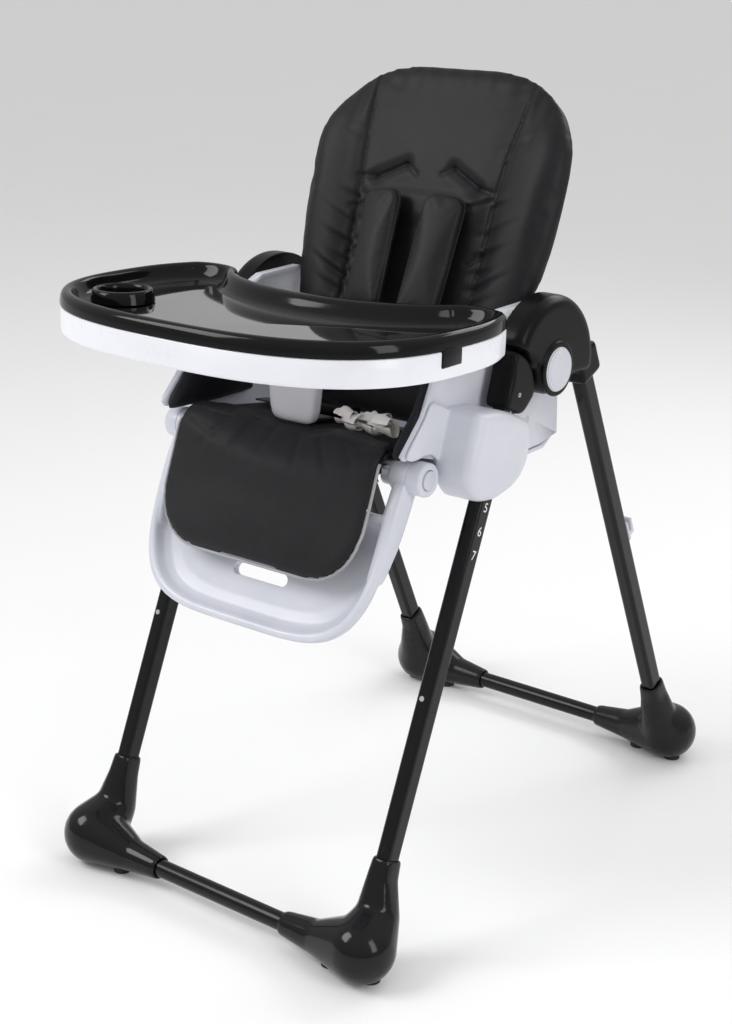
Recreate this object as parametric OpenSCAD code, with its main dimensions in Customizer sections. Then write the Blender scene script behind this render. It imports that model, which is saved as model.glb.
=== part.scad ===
// Baby high chair: a folding A-frame with a height-adjustable seat, a reclining
// backrest, a swinging footrest and a sliding tray with a lift-off insert.
// Origin on the floor under the middle of the chair. +Z is up and -Y is the side
// that the child faces. Right is +X and left is -X, as seen by someone facing the tray.

/* [Frame] */
// Distance between the centres of the left and right leg tubes
leg_span = 468; // [440:1:562]
// Width of a leg tube across the chair
leg_w = 22; // [18:0.5:27]
// Depth of a leg tube along the chair
leg_d = 28; // [23:0.5:34]
// Corner radius of a leg tube
leg_r = 6; // [3:0.5:8]
// Wall of every tube
tube_wall = 1.5; // [1:0.1:3]
// Diameter of the two floor tubes
bar_d = 25; // [20:0.5:30]
// Height of the floor tubes' centre lines
bar_z = 31; // [28:0.5:40]
// Lean of the front legs from upright, in degrees
front_lean = 24.3; // [20:0.1:28]
// Lean of the rear legs from upright, in degrees
rear_lean = 23.9; // [20:0.1:28]
// How far the front leg's axis passes in front of the fold pivot, at its height
front_set = 72.5; // [68:0.5:90]
// How far the rear leg's axis passes behind the fold pivot, at its height
rear_set = 83; // [78:0.5:100]
// Distance down the legs from the pivot's height to the joint of upper and lower tube
seam_s = 439; // [380:1:520]

/* [Fold hub] */
// Distance of the fold pivot behind the middle of the chair
pivot_y = 20; // [0:1:40]
// Height of the fold pivot
pivot_z = 720; // [600:1:864]
// Radius of the domed hub cover
hub_r = 97; // [92:0.5:110]
// How far a hub stands out from the middle of the leg tube
hub_t = 21.5; // [20:0.5:25]
// Wall of the hub cover
hub_wall = 4; // [3:0.1:5]
// Radius of the round release button
button_r = 29.5; // [24:0.5:31]
// Radius of the fold pivot bolt
bolt_r = 8; // [6:0.5:10]

/* [Seat] */
// Wall of the moulded seat shell
seat_wall = 5; // [3:0.5:7]
// Radius of the footrest's round pivot ends
knuckle_r = 22; // [18:0.5:24]
// Radius of the hinge pins of the footrest and the backrest
pin_r = 6; // [4:0.5:8]
// Lean of the backrest from upright, in degrees
recline = 19.4; // [15:0.1:24]
// Length of the backrest above its hinge
back_len = 456; // [400:1:547]
// Thickness of the backrest cushion
back_pad_t = 38; // [30:1:44]
// Thickness of the seat cushion
seat_pad_t = 26; // [20:1:30]

/* [Footrest] */
// Half width of the footrest frame
foot_w = 198; // [180:1:200]
// Length of the footrest below its pivots
foot_len = 242; // [200:1:286]
// Lean of the footrest forward of hanging straight, in degrees
foot_lean = 26; // [15:0.5:28]

/* [Tray] */
// Half width of the tray
tray_w = 288; // [270:1:346]
// Half depth of the tray's rounded outline
tray_d = 217; // [190:1:240]
// Height of the white tray body
tray_h = 34; // [28:1:41]
// Height of the insert's raised rim above the tray body
rim_h = 20; // [16:1:26]
// Inner radius of the cup recess
cup_r = 32; // [26:0.5:34]
// Upward tilt of the tray towards its front, in degrees
tray_tilt = 2.6; // [0:0.1:4]

/* [Hidden] */
$fn = 64;

play = 0.4;                        // gap between parts that slide on each other
run = 0.05;                        // radial clearance of a pin in its bore
leg_x = leg_span/2;
front_len = (pivot_z - bar_z)/cos(front_lean);   // pivot height to floor tube height, along the leg
rear_len = (pivot_z - bar_z)/cos(rear_lean);
bar_out = 14;                      // the front floor tube sits this far ahead of the leg's own axis
front_bar_y = pivot_y - front_set - (pivot_z - bar_z)*tan(front_lean) - bar_out;
rear_bar_y = pivot_y + rear_set + (pivot_z - bar_z)*tan(rear_lean);
boot_top = 122;                    // length of leg that a boot's socket covers
boot_reach = 123;                  // from the leg's centre to the end of the boot's tube socket
boot_wall = 4;
bulge_r = 45;                      // radius of a boot's round heel
pad_h = 8;                         // height of the boots' underside above the floor
tube_gap = 0.2;                    // gap round a tube in its socket
leg_end = 34;                      // a leg tube stops this far short of the floor tube's centre
bar_end = 24;                      // a floor tube stops this far short of the leg's centre
socket_s = 35;                     // a hub's leg sockets end this far below the pivot's height
socket_wall = 4.5;
hub_in = leg_x - leg_w/2 - 6.5;      // inner and outer faces of a hub
hub_out = leg_x + hub_t;
snap_r = 3.5;
snap_out = 2.5;                    // how far a snap button stands out of its tube
seat_x = hub_in - 12;               // outer face of the seat shell's side walls
knuckle_y = pivot_y - 228;
knuckle_z = pivot_z - 101;
hinge_y = pivot_y + 10;            // the backrest's hinge line
hinge_z = pivot_z - 80;
pad_front = 55;                    // the back cushion's face lies this far in front of the hinge line
back_low_w = seat_x - 14;          // half width of the backrest between the armrests
back_high_w = hub_in - 2;          // half width of the backrest above the armrests
tray_y = pivot_y - 256;            // middle of the tray's rounded outline
tray_z = pivot_z + 52;             // underside of the tray body
tray_wall = 3;
cup_x = -197*tray_w/288;
cup_y = tray_y - 81;
floor_t = 2.5;                     // thickness of the insert's floor
latch_y = tray_y + 60;

// Places children for the right side, mirrored for the left (s = -1).
module side(s) {
    mirror([s < 0 ? 1 : 0, 0, 0]) children();
}
// The local -Z runs down the right front or rear leg from the pivot's height.
module on_front_leg() {
    translate([leg_x, pivot_y - front_set, pivot_z]) rotate([-front_lean, 0, 0]) children();
}
module on_rear_leg() {
    translate([leg_x, pivot_y + rear_set, pivot_z]) rotate([rear_lean, 0, 0]) children();
}
// Extrudes an outline in (y, z) from x0 to x1.
module yz(x0, x1) {
    translate([x0, 0, 0]) rotate([90, 0, 90]) linear_extrude(x1 - x0) children();
}
module x_cyl(x0, x1, r) {
    translate([x0, 0, 0]) rotate([0, 90, 0]) cylinder(h = x1 - x0, r = r);
}
module round_rect(w, d, r) {
    square([w - 2*r, d], center = true);
    square([w, d - 2*r], center = true);
    for (i = [-1, 1], j = [-1, 1]) translate([i*(w/2 - r), j*(d/2 - r)]) circle(r = r);
}
// A solid leg section from s0 to s1 down the leg, grown by g.
module leg_bar(s0, s1, g = 0) {
    translate([0, 0, -s1]) linear_extrude(s1 - s0) round_rect(leg_w + 2*g, leg_d + 2*g, leg_r + g);
}
module leg_tube(s0, s1, g = 0) {
    difference() {
        leg_bar(s0, s1, g);
        leg_bar(s0 - 1, s1 + 1, g - tube_wall);
    }
}

// Legs -----------------------------------------------------------------------
swage = 40;                        // length of the lower tube's narrowed end inside the upper tube
swage_gap = 0.15;
snap_s = seam_s - 14;

module snap_hole(dir) {
    translate([0, 0, -snap_s]) rotate(dir) cylinder(h = leg_d + leg_w, r = snap_r + 0.2);
}
front_dir = [90, 0, 0];            // the front snap buttons face the front
rear_dir = [0, -90, 0];            // the rear snap buttons face inwards
module upper_leg(dir) {
    difference() {
        leg_tube(-24, seam_s);
        snap_hole(dir);
    }
}
height_pitch = 31;                 // spacing of the seven seat heights along the leg
module height_holes() {
    for (i = [0:6]) translate([0, 0, -lever_s - height_pitch*i])
        rotate([-90, 0, 0]) cylinder(h = leg_d, r = 4.5);
}
module lower_leg(len, dir) {
    difference() {
        union() {
            leg_tube(seam_s + 0.3, len - leg_end);
            leg_tube(seam_s - swage, seam_s + 6, -tube_wall - swage_gap);
            difference() {
                leg_bar(seam_s + 0.3, seam_s + 6, -0.5);
                leg_bar(seam_s, seam_s + 7, -2*tube_wall);
            }
        }
        snap_hole(dir);
    }
}
module front_leg_upper(s) {
    color("#1b1b1d") side(s) on_front_leg() difference() {
        upper_leg(front_dir);
        height_holes();
    }
}
module front_leg_lower(s) {
    color("#1b1b1d") side(s) on_front_leg() lower_leg(front_len, front_dir);
}
module rear_leg_upper(s) {
    color("#1b1b1d") side(s) on_rear_leg() upper_leg(rear_dir);
}
module rear_leg_lower(s) {
    color("#1b1b1d") side(s) on_rear_leg() lower_leg(rear_len, rear_dir);
}
// A snap button sits in the hole through both tube walls and stands out of the upper one.
module snap_button(depth) {
    wall = 2*tube_wall + swage_gap;
    translate([0, 0, depth/2 - wall - 0.1]) cylinder(h = wall + snap_out + 0.1, r = snap_r);
    translate([0, 0, depth/2 - wall - 1.7]) cylinder(h = 1.6, r = snap_r + 1);
}
module front_snap_button(s) {
    color("silver") side(s) on_front_leg() translate([0, 0, -snap_s]) rotate(front_dir) snap_button(leg_d);
}
module rear_snap_button(s) {
    color("silver") side(s) on_rear_leg() translate([0, 0, -snap_s]) rotate(rear_dir) snap_button(leg_w);
}

// Floor tubes, boots and pads --------------------------------------------------
module floor_tube(y) {
    end = leg_x - bar_end;
    color("#1b1b1d") translate([0, y, bar_z]) difference() {
        x_cyl(-end, end, bar_d/2);
        x_cyl(-end - 1, end + 1, bar_d/2 - tube_wall);
    }
}
module ball(x, y, z, r, squash = 1) {
    translate([x, y, z]) scale([1, 1, squash]) sphere(r = r, $fn = 24);
}
// One boot: heel at the corner, a socket up the leg and a socket along the floor tube.
// out is the direction away from the chair, -1 at the front and 1 at the rear.
module boot_screw_place(len) {
    translate([-leg_w/2 - boot_wall, 0, boot_top - len - 12]) mirror([1, 0, 0]) children();
}
module boot(bar_y, out, len, front) {
    sock = bar_d/2 + boot_wall;
    knee_y = bar_y - out*(bar_out*(front ? 1 : 0) + 22);
    module on_leg() {
        if (front) on_front_leg() children();
        else on_rear_leg() children();
    }
    difference() {
        union() {
            hull() {
                on_leg() leg_bar(len - boot_top, len - boot_top + 4, boot_wall);
                on_leg() leg_bar(len - boot_top + 24, len - boot_top + 28, boot_wall + 2);
            }
            hull() {
                on_leg() leg_bar(len - boot_top + 26, len - boot_top + 28, boot_wall + 2);
                ball(leg_x + 4, knee_y, bar_z + 38, 30);
            }
            hull() {
                ball(leg_x + 4, knee_y, bar_z + 38, 30);
                ball(leg_x + 8, bar_y, bar_z + 12, bulge_r);
            }
            hull() {
                ball(leg_x + 8, bar_y, bar_z + 12, bulge_r);
                ball(leg_x - 62, bar_y, bar_z + 1, 24);
            }
            hull() {
                ball(leg_x - 62, bar_y, bar_z + 1, 24);
                translate([leg_x - boot_reach, bar_y, bar_z]) x_cyl(0, 8, sock, $fn = 32);
            }
        }
        translate([0, bar_y, 0]) cube([4*leg_x, 4*bulge_r, 2*pad_h], center = true);
        on_leg() leg_bar(len - boot_top - 60, len - leg_end + 0.3, tube_gap);
        translate([0, bar_y, bar_z]) x_cyl(leg_x - boot_reach - 20, leg_x - bar_end + 0.3, bar_d/2 + tube_gap);
        on_leg() boot_screw_place(len) x_cyl(-3.3, 30, 3.1);
    }
}
module front_boot(s) {
    color("#121213") side(s) boot(front_bar_y, -1, front_len, true);
}
module rear_boot(s) {
    color("#161617") side(s) boot(rear_bar_y, 1, rear_len, false);
}
module foot_pads(y, out) {
    color("#242426") for (s = [-1, 1], i = [0, 1]) {
        translate([s*(leg_x + 20 - 64*i), y + out*(i == 0 ? -4 : 0), 0]) cylinder(h = pad_h, r = 12);
    }
}

// Fold hubs --------------------------------------------------------------------
module at_pivot() {
    translate([0, pivot_y, pivot_z]) children();
}
// The outline in (y, z) of a leg socket from s0 to s1 down the leg, in the pivot's frame.
module socket_outline(set, lean, s0, s1, w) {
    translate([set, 0]) rotate(lean) translate([-w/2, -s1]) square([w, s1 - s0]);
}
boss_r = button_r + 6.5;
// The half fixed to the front legs, nested inside the cover.
module hub_socket(s) {
    x0 = hub_in + hub_wall + play;
    x1 = hub_out - hub_wall - play;
    color("#17171a") side(s) at_pivot() difference() {
        yz(x0, x1) {
            intersection() {
                circle(r = hub_r - hub_wall - 1.5);
                union() {
                    socket_outline(-front_set, -front_lean, -34, socket_s, leg_d + 2*socket_wall);
                    circle(r = boss_r + 8);
                    polygon([[0, boss_r], [-front_set, 34], [-front_set - 10, -20], [-10, -boss_r]]);
                }
            }
            intersection() {
                socket_outline(-front_set, -front_lean, 14, socket_s, leg_d + 2*socket_wall);
                translate([-300, -220]) square([260, 200]);
            }
        }
        translate([leg_x, -front_set, 0]) rotate([-front_lean, 0, 0]) leg_bar(-24, 200, tube_gap);
        x_cyl(x0 - 1, x1, bolt_r + 0.02);
        x_cyl(x0 + 9, x1 + 1, button_r + 0.8);
        translate(front_screw_at - [0, pivot_y, pivot_z]) x_cyl(-3.3, 4, 3.1);
    }
}
// The domed half fixed to the rear legs, which turns over the socket when the frame folds.
module cover_outline(r) {
    intersection() {
        circle(r = r);
        polygon([[-hub_r - 5, 62], [-hub_r + 37, 48], [-boss_r - 5, 20], [-boss_r, 0], [0, -boss_r + 4],
                 [boss_r, -20], [hub_r + 20, -20], [hub_r + 20, hub_r + 5], [-hub_r - 5, hub_r + 5]]);
    }
    circle(r = min(r, boss_r));
}
module hub_cover(s) {
    cave = hub_r - hub_wall;
    edge = 10;
    color("#17171a") side(s) at_pivot() difference() {
        union() {
            yz(hub_in, hub_out) cover_outline(hub_r - edge);
            yz(hub_in + edge, hub_out - edge) cover_outline(hub_r);
            yz(hub_in + edge/3, hub_out - edge/3) cover_outline(hub_r - edge/3);
            yz(hub_in + 2, hub_out - 2)
                socket_outline(rear_set, rear_lean, -34, socket_s, leg_d + 2*socket_wall);
            x_cyl(hub_out - hub_wall, hub_out + 3, boss_r);
        }
        difference() {
            x_cyl(hub_in + hub_wall, hub_out - hub_wall, cave);
            yz(hub_in, hub_out)
                socket_outline(rear_set, rear_lean, -60, socket_s + 30, leg_d + 2*socket_wall);
        }
        yz(hub_in + hub_wall, hub_out - hub_wall)
            polygon([[-boss_r - 5, 20], [-200, 62], [-200, -200], [30, -200], [20, -20]]);
        translate([leg_x, rear_set, 0]) rotate([rear_lean, 0, 0]) leg_bar(-24, 200, tube_gap);
        x_cyl(hub_in - 1, hub_in + hub_wall + 1, bolt_r + run);
        translate(rear_screw_at - [0, pivot_y, pivot_z]) x_cyl(-3.3, 4, 3.1);
        x_cyl(hub_out - hub_wall - 1, hub_out + 4, button_r + 0.5);
    }
}
module hub_bolt(s) {
    color("silver") side(s) at_pivot() {
        x_cyl(hub_in - 0.3, hub_in + hub_wall + 8, bolt_r);
        x_cyl(hub_in - 1.3, hub_in - 0.2, bolt_r + 4);
    }
}
lock_t = 8;
lock_x = hub_out - hub_wall - lock_t - 2;
module hub_lock(s) {
    color("gray") side(s) at_pivot() {
        x_cyl(lock_x, lock_x + lock_t, button_r - 6);
        for (i = [0:7]) rotate([45*i, 0, 0])
            translate([lock_x, -4, button_r - 8]) cube([lock_t, 8, 6]);
    }
}
module hub_button(s) {
    color("#d3d4da") side(s) at_pivot() {
        x_cyl(lock_x + lock_t, hub_out + 3, button_r);
        x_cyl(hub_out + 3, hub_out + 5, button_r - 1.5);
        x_cyl(hub_out + 5, hub_out + 6, button_r - 6);
    }
}

// Screws and hooks ---------------------------------------------------------------
// Set into a blind hole 3.3 deep; the hexagon socket faces +X.
module screw() {
    difference() {
        x_cyl(-3, 0.6, 3);
        rotate([0, 90, 0]) cylinder(h = 2, r = 1.5, $fn = 6);
    }
}
front_screw_at = [hub_out - hub_wall - play, pivot_y - front_set - 8, pivot_z - 18];
rear_screw_at = [hub_out - 2, pivot_y + rear_set - 2, pivot_z + 2];
module front_frame_screws() {
    color("silver") for (s = [-1, 1]) side(s) {
        translate(front_screw_at) screw();
        on_front_leg() boot_screw_place(front_len) screw();
    }
}
module rear_frame_screws() {
    color("silver") for (s = [-1, 1]) side(s) {
        translate(rear_screw_at) screw();
        on_rear_leg() boot_screw_place(rear_len) screw();
    }
}
hook_s = 328;
module tray_hooks() {
    color("#c9ccd3") for (s = [-1, 1]) side(s) on_rear_leg() translate([-9, leg_d/2, -hook_s]) {
        translate([0, 0, -18]) cube([18, 5, 32]);
        translate([0, 0, -12]) cube([18, 16, 7]);
        translate([0, 11, -12]) cube([18, 5, 26]);
    }
}

// Seat -----------------------------------------------------------------------
// The seat's side view is drawn from the pivot: [y, z] offsets.
function rel(list) = [for (p = list) [pivot_y + p[0], pivot_z + p[1]]];
knuckle_gap = knuckle_r + 3;
wall_side = rel([[-267, -64], [-226, -24], [-206, 14], [-197, 50], [-188, 58], [-124, 54], [-112, 44], [-84, 74],
                 [-68, 80], [12, 80], [28, 72],
                 [40, 40], [84, -30], [86, -116], [40, -122], [-170, -122], [-196, -84], [-228, -74],
                 [-262, -70]]);
module seat_pan_2d(t) {
    polygon(rel([[-246, -92], [-40, -128], [60, -128], [60, -128 - t], [-40, -128 - t], [-246, -92 - t]]));
}
module seat_shell() {
    in = seat_x - seat_wall;
    color("#e6e7ee") difference() {
        union() {
            for (s = [-1, 1]) side(s) {
                yz(in, seat_x) polygon(wall_side);
                // rolled armrest top
                yz(in - 7.5, seat_x) polygon(rel([[-112, 38], [-84, 68], [-68, 74], [12, 74], [28, 66], [31, 70],
                                                 [28, 72], [12, 80], [-68, 80], [-84, 74], [-112, 44]]));
                // lug that carries the footrest's pin
                yz(in - 46, in - 32) {
                    translate([knuckle_y, knuckle_z]) circle(r = pin_r + 10);
                    translate([knuckle_y - 16, knuckle_z]) square([32, 12]);
                }
            }
            yz(-in, in) seat_pan_2d(seat_wall);
            yz(-in, in) polygon(rel([[80, -116], [86, -116], [86, -60], [80, -60]]));
            yz(-in, in) polygon(rel([[60, -128 - seat_wall], [60, -128], [80, -114], [86, -118]]));
        }
        translate([0, knuckle_y, knuckle_z]) {
            for (s = [-1, 1]) side(s) x_cyl(in - 31, seat_x + 1, knuckle_gap);
            // the footrest's arms swing up through these notches
            for (s = [-1, 1]) side(s) translate([in - 31, -60, -20]) cube([30.9, 60 + knuckle_gap, 60]);
            x_cyl(-seat_x - 1, seat_x + 1, pin_r + 0.02);
        }
        translate([0, hinge_y, hinge_z]) x_cyl(-seat_x - 1, seat_x + 1, pin_r + 0.02);
    }
}
// One moulding: the cover over the seat's side and the sleeve that slides on the front leg.
sleeve_side = rel([[-208, -123], [-176, -16], [-130, -26], [-98, -37], [-66, -53], [-59, -70], [-61, -98],
                   [-74, -124], [-95, -140], [-137, -145], [-180, -136]]);
cover_side = rel([[-214, -2], [-160, -20], [-198, -120], [-196, -84], [-228, -74], [-261, -70], [-265, -63],
                  [-225, -23]]);
module side_housing(s) {
    x0 = seat_x + 0.5;
    x1 = leg_x + leg_w/2 + 17;          // outer face of the sleeve
    color("#e6e7ee") side(s) difference() {
        union() {
            yz(x0, x0 + 6) polygon(cover_side);
            yz(x0, x1 - 6) polygon(sleeve_side);
            intersection() {
                yz(x0, x1) polygon(sleeve_side);
                on_front_leg() translate([0, 0, -150]) linear_extrude(130)
                    round_rect(2*(x1 - leg_x), 92, 18);
            }
        }
        on_front_leg() leg_bar(-20, 260, play);
        translate([0, knuckle_y, knuckle_z]) x_cyl(x0 - 1, x0 + 7, knuckle_gap);
        on_front_leg() lever_pocket();
        translate([0, pivot_y - 203, pivot_z - 63]) x_cyl(x0 + 3, x0 + 80, 2.2);
    }
}
// Squeezed at the back of the sleeve to free the seat on its legs.
lever_s = 104;
lever_y = leg_d/2 + 12;
module lever_pocket() {
    translate([-10, lever_y - 7, -lever_s - 19]) cube([20, 60, 38]);
    translate([0, 0, -lever_s]) rotate([-90, 0, 0]) cylinder(h = 60, r = 4.1);
}
module height_lever(s) {
    color("#9a9ca3") side(s) on_front_leg() difference() {
        union() {
            translate([-9.5, lever_y + 1, -lever_s - 18.5]) cube([19, 24, 37]);
            translate([0, leg_d/2 + 0.5, -lever_s]) rotate([-90, 0, 0]) cylinder(h = 14, r = 4);
        }
        for (i = [-2:2]) translate([-12, lever_y + 24, -lever_s + 6*i - 1]) cube([24, 3, 2]);
    }
}
module seat_pins() {
    in = seat_x - seat_wall;
    color("silver") for (s = [-1, 1]) side(s) {
        translate([0, knuckle_y, knuckle_z]) x_cyl(in - 46, seat_x - 2, pin_r);
        translate([0, hinge_y, hinge_z]) x_cyl(in - 18, seat_x, pin_r);
    }
}
module seat_screws() {
    color("silver") for (s = [-1, 1]) side(s)
        translate([0, pivot_y - 203, pivot_z - 63]) x_cyl(seat_x + 3.5, seat_x + 5.5, 2.15);
}

// Backrest -------------------------------------------------------------------
module at_hinge() {
    translate([0, hinge_y, hinge_z]) rotate([-recline, 0, 0]) children();
}
// Half width of the backrest at height z above its hinge: narrow between the armrests,
// widening above them, then an oval top.
swell_z0 = 162;
swell_z1 = 285;
function ease(t) = 3*pow(t, 2) - 2*pow(t, 3);
function oval(t, n) = pow(max(0, 1 - pow(t, n)), 1/n);
function back_half(z) = z < swell_z0 ? back_low_w
    : z < swell_z1 ? back_low_w + (back_high_w - back_low_w)*ease((z - swell_z0)/(swell_z1 - swell_z0))
    : back_high_w*oval(min(1, (z - swell_z1)/(back_len - swell_z1)), 2.8);
module back_outline(z0, g) {
    steps = 24;
    low = [for (i = [0:4]) let (a = 90*i/4) [back_low_w - 30 + g + 30*sin(a), z0 + 30 - 30*cos(a)]];
    high = [for (i = [1:steps]) let (t = sin(90*i/steps), z = swell_z0 + (back_len - swell_z0)*t)
            [back_half(z) + g*(i < steps ? 1 : 0), z + g*t]];
    half = concat(low, high);
    polygon(concat(half, [for (i = [len(half) - 2:-1:0]) [-half[i][0], half[i][1]]]));
}
wing = 20;                         // how far the cushion's edges come forward
pad_y0 = -pad_front;
pad_y1 = -pad_front + back_pad_t;
module xz_slab(y0, y1) {
    translate([0, y1, 0]) rotate([90, 0, 0]) linear_extrude(y1 - y0) children();
}
module back_pad() {
    w = back_high_w;
    color("#2a2b2e") at_hinge() intersection() {
        xz_slab(pad_y0 - wing, pad_y1) back_outline(-38, -1);
        translate([0, 0, -60]) linear_extrude(back_len + 100)
            polygon([[-w - 5, pad_y0 - wing], [-w*0.68, pad_y0], [w*0.68, pad_y0], [w + 5, pad_y0 - wing],
                     [w + 5, pad_y1 - 34], [w - 38, pad_y1], [-w + 38, pad_y1], [-w - 5, pad_y1 - 34]]);
    }
}
shell_t = 5;
shell_y = pad_y1 + 1.5;
strap_z = 282;
module backrest_shell() {
    w = back_high_w;
    color("#e6e7ee") at_hinge() difference() {
        union() {
            intersection() {
                xz_slab(pad_y0 - wing, shell_y + shell_t) back_outline(-34, -4);
                translate([0, 0, -60]) linear_extrude(back_len + 100)
                    polygon([[-w - 5, shell_y - 34], [-w + 38, shell_y], [w - 38, shell_y], [w + 5, shell_y - 34],
                             [w + 5, shell_y - 27], [w - 36, shell_y + shell_t],
                             [-w + 36, shell_y + shell_t], [-w - 5, shell_y - 27]]);
            }
            // stiffening ribs and the two hinge lugs
            for (x = [-90, 90]) translate([x - 3, shell_y + shell_t - 1, 0]) cube([6, 13, 0.8*back_len]);
            for (z = [40, 0.8*back_len - 6]) translate([-93, shell_y + shell_t - 1, z]) cube([186, 13, 6]);
            for (s = [-1, 1]) side(s) yz(seat_x - seat_wall - 17, seat_x - seat_wall - 5) {
                circle(r = pin_r + 9);
                translate([shell_y + 1, -pin_r - 9]) square([-shell_y, 2*pin_r + 18]);
            }
        }
        x_cyl(-seat_x, seat_x, pin_r + run);
        for (x = [-52, 52]) translate([x - 20, shell_y - 5, strap_z - 5]) cube([40, 20, 10]);
    }
}
lever_len = 90;
module recline_lever() {
    color("#9a9ca3") at_hinge() translate([0, shell_y + shell_t + 0.5, 0.72*back_len]) {
        translate([-lever_len/2, 2, 0]) cube([lever_len, 9, 24]);
        translate([-6, 0, -60]) cube([12, 5, 70]);
    }
}

// Footrest -------------------------------------------------------------------
module at_knuckle() {
    translate([0, knuckle_y, knuckle_z]) rotate([-foot_lean, 0, 0]) children();
}
frame_d = 34;                      // depth of the footrest's bucket
frame_y = -22;                     // its front rim, in front of the pivot line
frame_rim = 12;
module foot_outline(g, z_top) {
    n = 4.4;
    steps = 20;
    half = [for (i = [0:steps]) let (a = 90*i/steps)
            [(foot_w + g)*pow(cos(a) + 0.00001, 2/n), -(foot_len + g)*pow(sin(a), 2/n)]];
    intersection() {
        polygon(concat(half, [for (i = [steps - 1:-1:0]) [-half[i][0], half[i][1]]]));
        translate([-2*foot_w, -2*foot_len]) square([4*foot_w, 2*foot_len + z_top]);
    }
}
module footrest_frame() {
    in = seat_x - seat_wall;
    top = -knuckle_r*0.5;
    color("#e6e7ee") at_knuckle() difference() {
        union() {
            difference() {
                xz_slab(frame_y, frame_y + frame_d) foot_outline(0, top);
                xz_slab(frame_y - 1, frame_y + frame_d - 4) foot_outline(-frame_rim, top + 1);
                // open between the arms above the panel
                xz_slab(frame_y - 2, frame_y + frame_d + 1)
                    translate([-foot_w + 30, -58]) square([2*foot_w - 60, 100]);
            }
            for (s = [-1, 1]) side(s) x_cyl(in - 30, seat_x + 13, knuckle_r);
            for (s = [-1, 1]) side(s) translate([in - 30, -knuckle_r, -knuckle_r - 20])
                cube([foot_w - in + 28, knuckle_r + 10, knuckle_r + 20]);
        }
        x_cyl(-seat_x + 1, seat_x - 1, pin_r + run);
        for (s = [-1, 1]) side(s) x_cyl(seat_x + 5, seat_x + 14, knuckle_r - 9);
        // drain slot in the panel
        xz_slab(0, frame_d + 20) {
            translate([0, -170]) square([76, 17], center = true);
            for (x = [-38, 38]) translate([x, -170]) circle(r = 8.5);
        }
    }
}
module footrest_button(s) {
    color("#dcdde4") side(s) translate([0, knuckle_y, knuckle_z])
        x_cyl(seat_x + 10.5, seat_x + 15, knuckle_r - 9.5);
}

// Tray -----------------------------------------------------------------------
module at_tray() {
    translate([0, tray_y, tray_z]) rotate([-tray_tilt, 0, 0]) children();
}
// The tray's outline in its own plane, drawn inwards by g at the outside and by
// cut_g round the hollow at the child's side.
arm_end = 138;                     // the tray's side arms end this far behind its middle
function oval_x(y, w, d) = w*oval(min(1, abs(y)/d), 2.63);
module tray_outline(g, cut_g) {
    w = tray_w - g;
    d = tray_d - g;
    steps = 40;
    y_end = arm_end - g;
    hollow_w = 0.6*tray_w + 0.55*cut_g;
    hollow_d = 88 + cut_g;
    corner = [for (i = [0:3]) let (a = 20 + 30*i) [tray_w*0.775 + (26 - 0.6*g)*cos(a), 118 + (26 - g)*sin(a)]];
    outer = [for (i = [0:steps]) let (y = -d + (d + y_end)*(1 - cos(180*i/steps))/2) [oval_x(y, w, d), y]];
    hollow = [for (i = [0:12]) let (a = 8 + 82*i/12) [hollow_w*cos(a), 141 - hollow_d*sin(a)]];
    half = concat([for (p = outer) if (p[1] < 112 - g) p], corner, hollow);
    polygon(concat(half, [for (i = [len(half) - 1:-1:0]) [-half[i][0], half[i][1]]]));
}
module tray_body() {
    deck = tray_h - 10;
    color("#eceef5") at_tray() difference() {
        union() {
            difference() {
                linear_extrude(tray_h) tray_outline(0, 0);
                translate([0, 0, -1]) linear_extrude(tray_h + 2) tray_outline(tray_wall, tray_wall);
            }
            translate([0, 0, deck - tray_wall]) linear_extrude(tray_wall) tray_outline(1, 1);
            // rails that hang over the seat's armrests
            for (s = [-1, 1]) side(s) for (x = [seat_x + 3, seat_x - 24])
                translate([x, -70, 2]) cube([3, 180, deck - 3]);
        }
        translate([cup_x, cup_y - tray_y, -1]) cylinder(h = tray_h, r = cup_r + 6);
        // notch for each insert clip
        for (s = [-1, 1]) side(s) translate([tray_w - 22, -26, tray_h - 24]) cube([30, 46, 30]);
        // the armrests' tongues slide in through the ends of the arms
        for (s = [-1, 1]) side(s) translate([seat_x - 18, 60, -2]) cube([21, 100, deck - tray_wall + 1]);
    }
}
module tray_insert() {
    floor_z = tray_h - 9.5;
    top = tray_h + rim_h;
    color("#101012") at_tray() difference() {
        union() {
            translate([0, 0, floor_z]) linear_extrude(tray_h - floor_z + 0.2)
                tray_outline(tray_wall + play, tray_wall + play);
            translate([0, 0, tray_h + 0.2]) linear_extrude(rim_h - 6) tray_outline(0, 0);
            translate([0, 0, tray_h + rim_h - 6]) linear_extrude(4) tray_outline(2, 2);
            translate([0, 0, tray_h + rim_h - 2.2]) linear_extrude(2.2) tray_outline(6, 7);
            translate([cup_x, cup_y - tray_y, 4]) cylinder(h = floor_z, r = cup_r + 5);
            for (s = [-1, 1]) side(s) translate([tray_w - 19, -25, tray_h - 22]) cube([18, 44, 26]);
        }
        difference() {
            translate([0, 0, floor_z + floor_t]) linear_extrude(60) tray_outline(17, 34);
            translate([cup_x, cup_y - tray_y, 0]) cylinder(h = top, r = cup_r + 5);
        }
        translate([cup_x, cup_y - tray_y, 6.5]) cylinder(h = 80, r = cup_r);
    }
}
// Squeezed under the tray's sides to free it on the armrests.
module tray_latch(s) {
    color("#9a9ca3") side(s) at_tray() translate([seat_x + 26, latch_y - tray_y - 25, -4]) {
        cube([26, 50, 6]);
        translate([0, 20, 0]) cube([8, 10, 14]);
    }
}
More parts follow.
